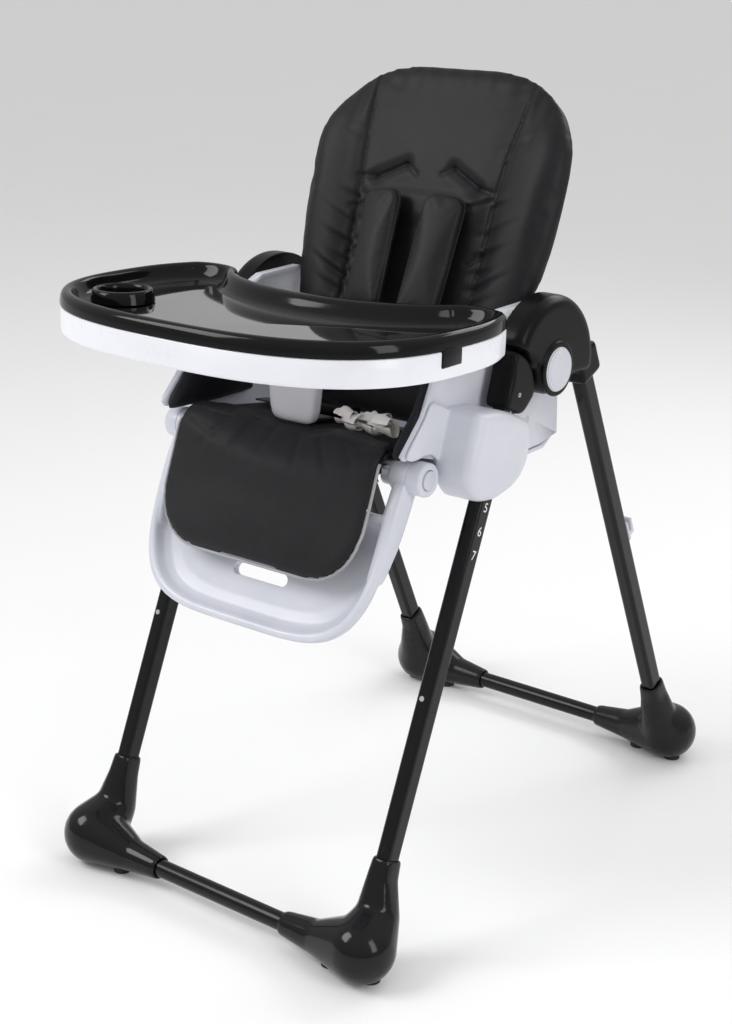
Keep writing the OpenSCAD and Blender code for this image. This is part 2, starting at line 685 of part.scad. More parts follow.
// The post between the child's legs hangs from the tray's child side.
post_len = 135;
module crotch_post() {
    color("#a3a4a8") at_tray() translate([0, 0, tray_h - 10 - tray_wall]) hull() {
        translate([-46, 19, -1.2]) cube([92, 30, 1]);
        translate([-40, 20, -94]) cube([80, 28, 1]);
        translate([-36, 21, -118]) cube([72, 26, 1]);
        translate([-26, 24, -post_len]) cube([52, 20, 1]);
    }
}

// Cushions and harness ----------------------------------------------------------
// The seat cushion's top plane: the local +Y runs back from its front fold.
pad_tilt = 10;
module on_seat(x = 0, y = 0, z = 0) {
    translate([0, pivot_y - 248, pivot_z - 60]) rotate([-pad_tilt, 0, 0]) translate([x, y, z]) children();
}
module seat_pad() {
    w = seat_x - seat_wall - 31.5;
    top = -60 - 166*tan(pad_tilt);
    color("#2a2b2e") difference() {
        yz(-w, w) polygon(rel([[-250, -62], [-254, -68], [-264, -88], [-274, -112], [-270, -117],
            [-260, -117], [-252, -98], [-248, -91], [-82, min(top - 4, -60 - seat_pad_t - 34)],
            [-82, top], [-246, -60]]));
        // clear of the lugs that carry the footrest's pins
        for (s = [-1, 1]) side(s) yz(w - 15, w + 1)
            polygon(rel([[-246, -120], [-209, -120], [-209, -84], [-246, -84]]));
        // the crotch post rides in this dip as the tray slides
        yz(-52, 52) polygon(rel([[-300, -67.5], [-208, -67.5], [-196, -60], [-196, 0], [-300, 0]]));
    }
}
module calf_pad() {
    color("#2a2b2e") at_knuckle() xz_slab(frame_y - 24, frame_y - 2)
        intersection() {
            translate([-168, -157]) square([336, 106]);
            union() {
                translate([-168, -110]) square([336, 100]);
                translate([-123, -157]) square([246, 60]);
                for (x = [-123, 123]) translate([x, -112]) circle(r = 45);
            }
        }
}
module shoulder_pad(s) {
    color("#323337") side(s) at_hinge() translate([52, pad_y0 - 4, 0])
        translate([-30, -24, 128]) cube([60, 22, 142]);
}
module shoulder_straps() {
    color("#1d1d1f") at_hinge() for (x = [-52, 52]) translate([x - 12.5, pad_y0 - 4.5, 40]) cube([25, 2.5, 76]);
}
module waist_straps() {
    color("#1d1d1f") {
        for (x = [30, -135]) on_seat(x, 96, 2) cube([105, 25, 2.5]);
        on_seat(-12.5, 40, 2) cube([25, 46, 2.5]);
    }
}
module harness_buckle() {
    color("#151517") on_seat(0, 110, 2) linear_extrude(16) round_rect(54, 44, 12);
}
module care_labels() {
    color("#e9e6df") on_seat(54, 12, 2) cube([100, 42, 38]);
}

front_leg_upper(-1);  // front_leg_upper_left
front_leg_upper(1);  // front_leg_upper_right
front_leg_lower(-1);  // front_leg_lower_left
front_leg_lower(1);  // front_leg_lower_right
rear_leg_upper(-1);  // rear_leg_upper_left
rear_leg_upper(1);  // rear_leg_upper_right
rear_leg_lower(-1);  // rear_leg_lower_left
rear_leg_lower(1);  // rear_leg_lower_right
floor_tube(front_bar_y);  // front_floor_tube
floor_tube(rear_bar_y);  // rear_floor_tube
front_boot(-1);  // front_boot_left
front_boot(1);  // front_boot_right
rear_boot(-1);  // rear_boot_left
rear_boot(1);  // rear_boot_right
foot_pads(front_bar_y, -1);  // front_foot_pads
foot_pads(rear_bar_y, 1);  // rear_foot_pads
hub_socket(-1);  // hub_socket_left
hub_socket(1);  // hub_socket_right
hub_cover(-1);  // hub_cover_left
hub_cover(1);  // hub_cover_right
hub_bolt(-1);  // hub_bolt_left
hub_bolt(1);  // hub_bolt_right
hub_lock(-1);  // hub_lock_left
hub_lock(1);  // hub_lock_right
hub_button(-1);  // hub_button_left
hub_button(1);  // hub_button_right
front_snap_button(-1);  // front_snap_button_left
front_snap_button(1);  // front_snap_button_right
rear_snap_button(-1);  // rear_snap_button_left
rear_snap_button(1);  // rear_snap_button_right
front_frame_screws();
rear_frame_screws();
seat_screws();
tray_hooks();
seat_shell();
side_housing(-1);  // side_housing_left
side_housing(1);  // side_housing_right
height_lever(-1);  // height_lever_left
height_lever(1);  // height_lever_right
seat_pins();
backrest_shell();
recline_lever();
footrest_frame();
footrest_button(-1);  // footrest_button_left
footrest_button(1);  // footrest_button_right
tray_body();
tray_insert();
tray_latch(-1);  // tray_latch_left
tray_latch(1);  // tray_latch_right
crotch_post();
back_pad();
seat_pad();
calf_pad();
shoulder_pad(-1);  // shoulder_pad_left
shoulder_pad(1);  // shoulder_pad_right
shoulder_straps();
waist_straps();
harness_buckle();
care_labels();
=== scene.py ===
import math
import random

import bpy
import numpy as np
from mathutils import Matrix, Vector, noise


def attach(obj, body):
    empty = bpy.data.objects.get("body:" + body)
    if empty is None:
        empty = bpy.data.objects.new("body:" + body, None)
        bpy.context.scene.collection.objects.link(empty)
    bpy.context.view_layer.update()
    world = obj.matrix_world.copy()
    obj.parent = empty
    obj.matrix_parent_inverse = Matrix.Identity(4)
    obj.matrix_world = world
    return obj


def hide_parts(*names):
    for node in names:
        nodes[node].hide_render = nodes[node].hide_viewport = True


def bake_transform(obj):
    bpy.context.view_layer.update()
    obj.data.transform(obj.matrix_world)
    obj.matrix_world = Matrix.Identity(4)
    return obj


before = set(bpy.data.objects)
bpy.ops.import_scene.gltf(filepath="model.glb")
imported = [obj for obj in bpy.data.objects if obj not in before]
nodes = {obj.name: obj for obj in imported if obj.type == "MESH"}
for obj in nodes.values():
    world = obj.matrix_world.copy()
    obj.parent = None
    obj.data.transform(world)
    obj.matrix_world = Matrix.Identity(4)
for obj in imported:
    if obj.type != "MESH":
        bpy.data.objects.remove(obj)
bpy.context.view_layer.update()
ops = bpy.ops

# Plan sizes in metres ------------------------------------------------------------
HINGE = Vector((0, 0.030, 0.640))          # the backrest's hinge line
RECLINE = math.radians(19.4)
KNUCKLE = Vector((0, -0.208, 0.619))       # the footrest's pivot line
FOOT_LEAN = math.radians(26)
TRAY = Vector((0, -0.236, 0.772))          # middle of the tray's underside
TRAY_TILT = math.radians(2.6)
FOLD = Vector((0, -0.228, 0.660))          # front fold of the seat cushion
PIVOT = Vector((0, 0.020, 0.720))
LEG_X = 0.234
FRONT_SET, REAR_SET = 0.0725, 0.083        # the legs pass this far from the pivot, at its height
FRONT_LEAN, REAR_LEAN = math.radians(24.3), math.radians(23.9)
SIDES = ((-1, "left"), (1, "right"))


def place(origin, angle):
    return Matrix.Translation(origin) @ Matrix.Rotation(-angle, 4, "X")


ON_BACK = place(HINGE, RECLINE)
ON_FOOT = place(KNUCKLE, FOOT_LEAN)
ON_TRAY = place(TRAY, TRAY_TILT)
ON_SEAT = place(FOLD, math.radians(10))


# Making and finishing pieces --------------------------------------------------------
def deselect():
    if bpy.context.object and bpy.context.object.mode != "OBJECT":
        ops.object.mode_set(mode="OBJECT")
    ops.object.select_all(action="DESELECT")


def pick(obj):
    deselect()
    obj.select_set(True)
    bpy.context.view_layer.objects.active = obj
    return obj


def settle(obj, name, matrix=None):
    """Puts a piece's place into its mesh, so that its object sits at the origin."""
    obj.name = name
    obj.data.name = name
    bpy.context.view_layer.update()
    obj.data.transform(obj.matrix_world if matrix is None else matrix @ obj.matrix_world)
    obj.matrix_world = Matrix.Identity(4)
    return obj


def points(obj):
    co = np.empty(len(obj.data.vertices) * 3)
    obj.data.vertices.foreach_get("co", co)
    return co.reshape(-1, 3)


def set_points(obj, co):
    obj.data.vertices.foreach_set("co", np.ascontiguousarray(co, dtype=np.float32).ravel())
    obj.data.update()


def in_edit(obj, *steps):
    pick(obj)
    ops.object.mode_set(mode="EDIT")
    ops.mesh.select_all(action="SELECT")
    for step, options in steps:
        step(**options)
    ops.object.mode_set(mode="OBJECT")


def tidy(obj, merge=0.00005):
    in_edit(obj, (ops.mesh.remove_doubles, {"threshold": merge}),
            (ops.mesh.normals_make_consistent, {"inside": False}))


def apply(obj, kind, **settings):
    pick(obj)
    m = obj.modifiers.new(kind, kind)
    for key, value in settings.items():
        setattr(m, key, value)
    ops.object.modifier_apply(modifier=m.name)
    return obj


def smooth_shade(obj, angle=35):
    pick(obj)
    ops.object.shade_smooth_by_angle(angle=math.radians(angle))
    return obj


def joined(pieces, clean=True):
    """One object from several, each with its doubles merged first where clean is true."""
    for o in pieces:
        if clean:
            tidy(o)
    deselect()
    for o in pieces:
        o.select_set(True)
    bpy.context.view_layer.objects.active = pieces[0]
    ops.object.join()
    return bpy.context.object


def melted(obj, voxel, rounds, keep=1.0):
    """Joins what overlaps in a closed shape and rounds its edges, as in a polished mould."""
    apply(obj, "REMESH", mode="VOXEL", voxel_size=voxel, adaptivity=0)
    apply(obj, "SMOOTH", factor=0.5, iterations=rounds)
    if keep < 1:
        apply(obj, "DECIMATE", ratio=keep)
    return obj


def turns(n, first=0.0):
    """The angles of n points round a circle."""
    return np.linspace(first, first + 2 * math.pi, n, endpoint=False)


def squared(c, power):
    """A cosine or sine pushed out from a circle towards a square."""
    return math.copysign(abs(c) ** power, c)


def filled(outline, gap):
    """A closed outline with points added, about a gap apart."""
    out = []
    for (ua, va), (ub, vb) in zip(outline, outline[1:] + outline[:1]):
        n = max(1, int(math.hypot(ub - ua, vb - va) / gap))
        out += [(ua + (ub - ua) * j / n, va + (vb - va) * j / n) for j in range(n)]
    return out


def drawn_in(outline, g):
    """An outline with each point moved by g towards the middle."""
    cu = sum(p[0] for p in outline) / len(outline)
    cv = sum(p[1] for p in outline) / len(outline)
    out = []
    for u, v in outline:
        k = 1 - g / math.hypot(u - cu, v - cv)
        out.append((cu + (u - cu) * k, cv + (v - cv) * k))
    return out


def loft(name, rings, capped=True):
    """A skin through closed rings of equal length: a grid wrapped round, sewn and capped."""
    m, n = len(rings), len(rings[0])
    ops.mesh.primitive_grid_add(x_subdivisions=n, y_subdivisions=m - 1, size=1)
    obj = bpy.context.object
    grid = [list(r) + [r[0]] for r in rings]
    set_points(obj, np.array(grid).reshape(-1, 3))
    settle(obj, name)
    if capped:
        tidy(obj, 0.00002)
        pick(obj)
        ops.object.mode_set(mode="EDIT")
        ops.mesh.select_mode(type="EDGE")
        ops.mesh.select_all(action="DESELECT")
        ops.mesh.select_non_manifold(extend=False, use_wire=False, use_boundary=True,
                                     use_multi_face=False, use_non_contiguous=False, use_verts=False)
        ops.mesh.fill_holes(sides=0)
        ops.mesh.select_mode(type="VERT")
        ops.object.mode_set(mode="OBJECT")
    tidy(obj, 0.00002)
    return obj


def tube(name, path, radius, sides=10, closed=False):
    """A round cord along a path of points."""
    pts = [Vector(p) for p in path]
    if closed:
        pts.append(pts[0])
    rings = []
    up = None
    for i, p in enumerate(pts):
        a = pts[i - 1] if i else (pts[-2] if closed else p)
        b = pts[i + 1] if i + 1 < len(pts) else (pts[1] if closed else p)
        t = (b - a).normalized()
        if up is None:
            up = t.orthogonal().normalized()
        up = (up - t * up.dot(t)).normalized()
        side = t.cross(up)
        rings.append([p + (up * math.cos(a) + side * math.sin(a)) * radius for a in turns(sides)])
    if closed:
        rings[-1] = rings[0]
    return loft(name, rings, not closed)


def copy_of(node, name):
    """A merged copy of a CAD node's mesh as a new piece."""
    obj = nodes[node].copy()
    obj.data = nodes[node].data.copy()
    for key in list(obj.keys()):
        del obj[key]
    obj.parent = None
    bpy.context.scene.collection.objects.link(obj)
    obj.matrix_world = Matrix.Identity(4)
    obj.name = name
    obj.data.materials.clear()
    tidy(obj, 0.00002)
    return obj


def stand_for(obj, body, node, finish):
    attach(obj, body)
    if node:
        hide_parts(*([node] if isinstance(node, str) else node))
    obj.data.materials.clear()
    obj.data.materials.append(finish)
    return obj


def moulded(node, body, finish):
    """A CAD shape with all its edges rounded."""
    obj = melted(copy_of(node, node + "_moulded"), 0.0025, 14)
    pick(obj)
    ops.object.shade_smooth()
    return stand_for(obj, body, node, finish)


def trimmed(node, body, finish, width):
    """A CAD shape with a small round on its sharp edges."""
    obj = copy_of(node, node + "_trimmed")
    in_edit(obj, (ops.mesh.dissolve_limited, {"angle_limit": math.radians(3)}))
    apply(obj, "BEVEL", width=width, segments=3, limit_method="ANGLE", angle_limit=math.radians(32),
          harden_normals=False, use_clamp_overlap=True)
    apply(obj, "TRIANGULATE")
    tidy(obj, 0.00001)
    smooth_shade(obj, 40)
    return stand_for(obj, body, node, finish)


# Finishes ---------------------------------------------------------------------------
def sum_of(operation, swapped=False):
    """An operator that adds a Math node."""
    def operator(self, other):
        pair = (other, self) if swapped else (self, other)
        return self.finish.node("ShaderNodeMath", {"operation": operation}, **{
            str(i): v for i, v in enumerate(pair)}).out()
    return operator


class Value:
    """A shader socket that arithmetic works on."""

    def __init__(self, finish, socket):
        self.finish, self.socket = finish, socket

    __add__ = __radd__ = sum_of("ADD")
    __mul__ = __rmul__ = sum_of("MULTIPLY")
    __sub__ = sum_of("SUBTRACT")
    __rsub__ = sum_of("SUBTRACT", swapped=True)

    def above(self, edge, soft):
        return self.finish.node("ShaderNodeMapRange", {"interpolation_type": "SMOOTHSTEP"}, **{
            "0": self, "1": edge - soft, "2": edge + soft, "3": 0.0, "4": 1.0}).out()


class Made:
    def __init__(self, finish, node):
        self.finish, self.node = finish, node

    def out(self, index=0):
        return Value(self.finish, self.node.outputs[index])


class Finish:
    def __init__(self, name):
        self.material = bpy.data.materials.new(name)
        self.material.use_nodes = True
        self.tree = self.material.node_tree
        self.tree.nodes.clear()
        self.where = self.node("ShaderNodeTexCoord").out(3)

    def node(self, kind, settings=None, **sockets):
        n = self.tree.nodes.new(kind)
        for key, value in (settings or {}).items():
            if key == "stops":
                for i, (at, colour) in enumerate(value):
                    e = n.color_ramp.elements[i] if i < 2 else n.color_ramp.elements.new(at)
                    e.position, e.color = at, colour
            else:
                setattr(n, key, value)
        for key, value in sockets.items():
            s = n.inputs[int(key)] if key.isdigit() else n.inputs[key.replace("_", " ")]
            if isinstance(value, Value):
                self.tree.links.new(value.socket, s)
            else:
                s.default_value = value
        return Made(self, n)

    def noise(self, scale, detail=2.0, roughness=0.5, distortion=0.0, where=None):
        return self.node("ShaderNodeTexNoise", Vector=where or self.where, Scale=scale, Detail=detail,
                         Roughness=roughness, Distortion=distortion).out(0)

    def cells(self, scale, feature="F1"):
        return self.node("ShaderNodeTexVoronoi", {"feature": feature}, Vector=self.where, Scale=scale,
                         Randomness=1.0).out(0)

    def stretch(self, x, y, z):
        return self.node("ShaderNodeMapping", Vector=self.where, Scale=(x, y, z)).out(0)

    def tint(self, mask, low, high):
        return self.node("ShaderNodeMix", {"data_type": "RGBA"}, **{
            "0": mask, "6": (*low, 1), "7": (*high, 1)}).out(2)

    def bump(self, height, distance, strength=1.0, under=None):
        sockets = {"Strength": strength, "Distance": distance, "Height": height}
        if under:
            sockets["Normal"] = under
        return self.node("ShaderNodeBump", **sockets).out(0)

    def done(self, **sockets):
        shader = self.node("ShaderNodeBsdfPrincipled", **sockets)
        self.node("ShaderNodeOutputMaterial", Surface=shader.out(0))
        self.material.diffuse_color = (0.5, 0.5, 0.5, 1)
        return self.material


def plastic(name, low, high, rough, spread, coat=0.0, grain=0.00003, coarse=0.00025, ior=1.5, shine=0.5,
            coat_ior=1.5):
    """Moulded plastic: slow unevenness from the mould, fine texture and light handling marks."""
    f = Finish(name)
    slow = f.noise(9, 3, 0.55)
    fine = f.noise(1500, 2, 0.6)
    marks = f.noise(140, 4, 0.7, where=f.stretch(1, 1, 0.25))
    ripple = f.bump(f.noise(22, 2, 0.4), coarse, 0.35)
    normal = f.bump(fine, grain, 0.5, ripple)
    return f.done(Base_Color=f.tint(slow.above(0.5, 0.3), low, high),
                  Roughness=rough + (slow - 0.5) * spread + marks.above(0.62, 0.1) * spread,
                  Specular_IOR_Level=shine, Coat_Weight=coat, Coat_Roughness=0.06, Coat_IOR=coat_ior,
                  IOR=ior, Normal=normal)


def leather(name, low, high):
    """Soft faux leather: pebbled grain, faint pull lines and a low even sheen."""
    f = Finish(name)
    slow = f.noise(7, 3, 0.6)
    pebbles = f.cells(1150, "SMOOTH_F1")
    pores = f.cells(2300)
    pulls = f.noise(38, 4, 0.62, 0.6, where=f.stretch(1.0, 1.0, 0.55))
    soft = f.bump(pulls, 0.0011, 0.32)
    grain = f.bump(pebbles + pores * 0.35, 0.00012, 0.55, soft)
    worn = f.noise(60, 5, 0.7).above(0.6, 0.15)
    return f.done(Base_Color=f.tint(slow.above(0.5, 0.35) * 0.7 + worn * 0.3, low, high),
                  Roughness=0.46 + (slow - 0.5) * 0.12 + pebbles * 0.06,
                  Specular_IOR_Level=0.19, Sheen_Weight=0.01, Sheen_Roughness=0.5, Normal=grain)


def webbing(name, low, high):
    """Woven strap: fine ribs with a lighter thread."""
    f = Finish(name)
    ribs, cross = (f.node("ShaderNodeTexWave", {"wave_type": "BANDS", "bands_direction": direction},
                          Vector=f.where, Scale=scale, Distortion=uneven, Detail=1.0).out(1)
                   for direction, scale, uneven in (("DIAGONAL", 420, 0.6), ("X", 520, 0.3)))
    weave = ribs * 0.6 + cross * 0.4
    return f.done(Base_Color=f.tint(weave, low, high), Roughness=0.72 - weave * 0.15, Sheen_Weight=0.25,
                  Normal=f.bump(weave, 0.0004, 0.7))


def metal(name, colour, rough):
    f = Finish(name)
    brush = f.noise(260, 3, 0.7, where=f.stretch(8, 1, 1))
    slow = f.noise(30, 3)
    return f.done(Base_Color=f.tint(slow, [c * 0.86 for c in colour], colour), Metallic=1.0,
                  Roughness=rough + brush * 0.12, Normal=f.bump(brush, 0.00005, 0.4))


def powder_coat(name, low, high):
    """Black powder coat on steel: glossy with a slight orange peel and a few dull rubs."""
    f = Finish(name)
    peel = f.noise(420, 2, 0.45)
    slow = f.noise(16, 3)
    rubs = f.noise(55, 5, 0.75, where=f.stretch(1, 1, 0.15)).above(0.66, 0.07)
    return f.done(Base_Color=f.tint(slow.above(0.5, 0.3) * 0.5 + rubs * 0.5, low, high),
                  Roughness=0.17 + slow * 0.08 + rubs * 0.14, Specular_IOR_Level=0.28,
                  Normal=f.bump(peel, 0.00006, 0.35))


def printed_ribbon(name):
    """White satin label ribbon with only faint woven lines."""
    f = Finish(name)
    threads = f.noise(900, 2, 0.5, where=f.stretch(1, 1, 6))
    slow = f.noise(40, 3)
    return f.done(Base_Color=f.tint(slow * 0.6 + threads * 0.4, (0.66, 0.62, 0.57), (0.90, 0.88, 0.85)),
                  Roughness=0.55, Sheen_Weight=0.3, Normal=f.bump(threads, 0.0002, 0.5))


WHITE = plastic("seat_white", (0.61, 0.62, 0.68), (0.69, 0.70, 0.76), 0.34, 0.10, coat=0.12)
FOOT_WHITE = plastic("footrest_white", (0.60, 0.615, 0.68), (0.68, 0.69, 0.76), 0.31, 0.09, coat=0.12)
TRAY_WHITE = plastic("tray_white", (0.82, 0.83, 0.88), (0.88, 0.89, 0.93), 0.28, 0.08, coat=0.15)
TRAY_BLACK = plastic("tray_gloss_black", (0.003, 0.003, 0.0033), (0.005, 0.005, 0.0055), 0.10, 0.03,
                     grain=0.000006, coarse=0.00008, shine=0.22)
TRAY_FLOOR = plastic("tray_floor_black", (0.006, 0.006, 0.0065), (0.010, 0.010, 0.011), 0.05, 0.02,
                     coat=1.0, grain=0.000003, coarse=0.00003, ior=2.6, coat_ior=3.0)
BOOT_BLACK = plastic("boot_gloss_black", (0.003, 0.003, 0.0034), (0.006, 0.006, 0.0065), 0.13, 0.05,
                     grain=0.00001, coarse=0.0002, shine=0.3)
REAR_BLACK = plastic("rear_boot_black", (0.004, 0.004, 0.0044), (0.008, 0.008, 0.0085), 0.24, 0.08,
                     shine=0.3)
HUB_BLACK = plastic("hub_satin_black", (0.0030, 0.0030, 0.0033), (0.0050, 0.0050, 0.0054), 0.30, 0.08,
                    grain=0.00006, shine=0.13)
BUTTON_GREY = plastic("button_grey", (0.56, 0.57, 0.62), (0.64, 0.65, 0.70), 0.36, 0.08, coat=0.1)
LEVER_GREY = plastic("lever_grey", (0.24, 0.24, 0.25), (0.30, 0.30, 0.31), 0.45, 0.08)
POST_GREY = plastic("post_grey", (0.46, 0.46, 0.49), (0.54, 0.54, 0.57), 0.38, 0.08, coat=0.1)
RUBBER = plastic("foot_rubber", (0.012, 0.012, 0.012), (0.03, 0.03, 0.03), 0.75, 0.1, grain=0.0002)
NYLON = plastic("lock_nylon", (0.16, 0.16, 0.165), (0.22, 0.22, 0.22), 0.5, 0.1)
NUMBER_WHITE = plastic("number_white", (0.75, 0.75, 0.77), (0.85, 0.85, 0.86), 0.5, 0.05)
STEEL = metal("plated_steel", (0.62, 0.62, 0.64), 0.28)
TUBE_BLACK = powder_coat("tube_powder_coat", (0.0025, 0.0025, 0.0028), (0.005, 0.005, 0.0054))
SKIN = leather("charcoal_leather", (0.009, 0.009, 0.0105), (0.016, 0.016, 0.018))
SKIN_SOFT = leather("flap_leather", (0.012, 0.012, 0.0135), (0.019, 0.019, 0.021))
BINDING = plastic("edge_binding", (0.28, 0.28, 0.29), (0.42, 0.42, 0.43), 0.5, 0.1)
THREAD = webbing("seam_thread", (0.010, 0.010, 0.011), (0.03, 0.03, 0.032))
STRAP = webbing("harness_webbing", (0.008, 0.008, 0.009), (0.03, 0.03, 0.032))
RIBBON = printed_ribbon("label_ribbon")

for names, finish in (
        (("front_leg_upper_left", "front_leg_upper_right", "front_leg_lower_left", "front_leg_lower_right",
          "rear_leg_upper_left", "rear_leg_upper_right", "rear_leg_lower_left", "rear_leg_lower_right",
          "front_floor_tube", "rear_floor_tube"), TUBE_BLACK),
        (("front_foot_pads", "rear_foot_pads"), RUBBER),
        (("hub_bolt_left", "hub_bolt_right", "front_snap_button_left", "front_snap_button_right",
          "rear_snap_button_left", "rear_snap_button_right", "front_frame_screws", "rear_frame_screws",
          "seat_screws", "seat_pins"), STEEL),
        (("hub_lock_left", "hub_lock_right"), NYLON),
        (("shoulder_straps", "waist_straps"), STRAP)):
    for n in names:
        nodes[n].data.materials.clear()
        nodes[n].data.materials.append(finish)
        smooth_shade(nodes[n], 30)


# Curves of the cushions ---------------------------------------------------------------
def through(stops, at):
    """A smooth curve through given (place, value) stops."""
    if at <= stops[0][0]:
        return stops[0][1]
    if at >= stops[-1][0]:
        return stops[-1][1]
    i = next(i for i in range(len(stops) - 1) if at <= stops[i + 1][0])
    (a, va), (b, vb) = stops[i], stops[i + 1]
    (p, vp), (q, vq) = stops[max(0, i - 1)], stops[min(len(stops) - 1, i + 2)]
    ma = (vb - vp) / (b - p) * (b - a)
    mb = (vq - va) / (q - a) * (b - a)
    t = (at - a) / (b - a)
    return ((2 * t ** 3 - 3 * t ** 2 + 1) * va + (t ** 3 - 2 * t ** 2 + t) * ma
            + (3 * t ** 2 - 2 * t ** 3) * vb + (t ** 3 - t ** 2) * mb)


def step(a, b, x):
    t = min(1.0, max(0.0, (x - a) / (b - a)))
    return t * t * (3 - 2 * t)


def bell(d, width):
    """A soft hump, 1 at a distance of nothing."""
    return math.exp(-(d / width) ** 2)


def puff(obj, voxel, pressure, cap, pinned, frames=20, stiffness=8.0):
    """Remeshes a cushion's form and swells it as sewn cloth; pinned(co, normal) gives 0 to 1 per point."""
    melted(obj, voxel, 3)
    start = points(obj)
    normals = np.array([v.normal for v in obj.data.vertices])
    group = obj.vertex_groups.new(name="sewn")
    for i, (co, normal) in enumerate(zip(start, normals)):
        w = pinned(co, normal)
        if w > 0:
            group.add([i], w, "REPLACE")
    pick(obj)
    m = obj.modifiers.new("cloth", "CLOTH")
    s = m.settings
    s.quality = 5
    s.mass = 0.3
    s.tension_stiffness = s.compression_stiffness = stiffness
    s.shear_stiffness = stiffness * 0.5
    s.bending_stiffness = 0.6
    s.use_pressure = True
    s.uniform_pressure_force = pressure
    s.vertex_group_mass = "sewn"
    s.effector_weights.gravity = 0
    m.collision_settings.use_collision = False
    m.point_cache.frame_start, m.point_cache.frame_end = 1, frames
    for k in range(1, frames + 1):
        bpy.context.scene.frame_set(k)
    ops.object.modifier_apply(modifier=m.name)
    bpy.context.scene.frame_set(1)
    move = points(obj) - start
    far = np.linalg.norm(move, axis=1, keepdims=True)
    set_points(obj, start + move * np.minimum(1, cap / np.maximum(far, 1e-9)))
    obj.vertex_groups.clear()
    return obj


def finish_cushion(obj, rounds=2, levels=1):
    apply(obj, "SMOOTH", factor=0.5, iterations=rounds)
    if levels:
        apply(obj, "SUBSURF", levels=levels, render_levels=levels)
    pick(obj)
    ops.object.shade_smooth()
    return obj


# Backrest cushion ------------------------------------------------------------------------
BACK_HALF = [(-0.038, 0.150), (-0.020, 0.178), (0.060, 0.186), (0.120, 0.190), (0.155, 0.199),
             (0.190, 0.206), (0.245, 0.2125), (0.285, 0.2140), (0.325, 0.2140), (0.360, 0.209),
             (0.400, 0.186), (0.432, 0.150), (0.449, 0.110), (0.456, 0.060)]
SEAM_HALF = [(-0.04, 0.106), (0.15, 0.110), (0.29, 0.115), (0.335, 0.119), (0.40, 0.127), (0.44, 0.132)]
BACK_FACE = -0.048          # front face before it swells, in front of the hinge plane
BACK_REAR = -0.0185


def back_form():
    """The cushion's closed form: rows up the backrest, each a flattened ring."""
    rows = 40
    around = 72
    rings = []
    for i in range(rows + 1):
        t = 0.5 - 0.5 * math.cos(math.pi * i / rows)
        v = -0.036 + (0.455 + 0.036) * t
        half = through(BACK_HALF, v) - 0.003
        end = min(1.0, (i + 0.4) / 3.5, (rows - i + 0.4) / 5.0)
        thick = 0.35 + 0.65 * math.sqrt(end)
        roll = 0.018 * step(0.30, 0.47, v)
        ring = []
        for a in turns(around):
            x = half * squared(math.cos(a), 0.55)
            wing = 0.019 * step(0.108, 0.200, abs(x)) * step(0.456, 0.36, v)
            front = BACK_FACE - wing + roll
            wrap = step(0.13, 0.17, v) * step(0.175, 0.20, abs(x) + 0.02 * step(0.34, 0.40, v))
            rear = BACK_REAR - 0.026 * step(0.165, 0.216, abs(x)) * (1 - wrap) + roll * 0.2 + 0.010 * wrap
            mid, deep = (front + rear) / 2, (rear - front) / 2 * thick
            ring.append((x, mid + deep * squared(math.sin(a), 0.6), v))
        rings.append([ON_BACK @ Vector(p) for p in ring])
    return loft("back_cushion", rings)


INV_BACK = ON_BACK.inverted()
# Creases sewn over the strap slots, and slack folds between the seams and the slots
NOTCHES = [(-0.092, 0.291, -0.042, 0.314), (0.038, 0.314, 0.086, 0.289)]
FOLDS = [(-0.118, 0.290, -0.092, 0.291), (0.086, 0.289, 0.108, 0.286), (-0.042, 0.314, -0.022, 0.300),
         (0.038, 0.314, 0.022, 0.303), (-0.120, 0.246, -0.085, 0.256), (0.080, 0.262, 0.110, 0.276),
         (-0.112, 0.180, -0.088, 0.196), (0.092, 0.186, 0.110, 0.200)]


def near_line(x, v, line):
    x0, v0, x1, v1 = line
    dx, dv = x1 - x0, v1 - v0
    t = max(0, min(1, ((x - x0) * dx + (v - v0) * dv) / (dx * dx + dv * dv)))
    return math.hypot(x - x0 - t * dx, v - v0 - t * dv)


def back_sewn(co, normal):
    p = INV_BACK @ Vector(co)
    n = INV_BACK.to_3x3() @ Vector(normal)
    if n.y > 0.35 or p.y > BACK_REAR - 0.004:
        return 1.0
    seam = abs(abs(p.x) - through(SEAM_HALF, p.z))
    w = 1.0 - step(0.001, 0.003, seam)
    for line in NOTCHES:
        w = max(w, 1.0 - step(0.001, 0.004, near_line(p.x, p.z, line)))
    return w


# Height and depth of the pleats beside the seams
PLEATS = ((0.105, 1.0), (0.128, 0.7), (0.149, 1.1), (0.171, 0.8), (0.196, 1.0), (0.224, 0.55), (0.262, 0.7),
          (0.345, 0.3))


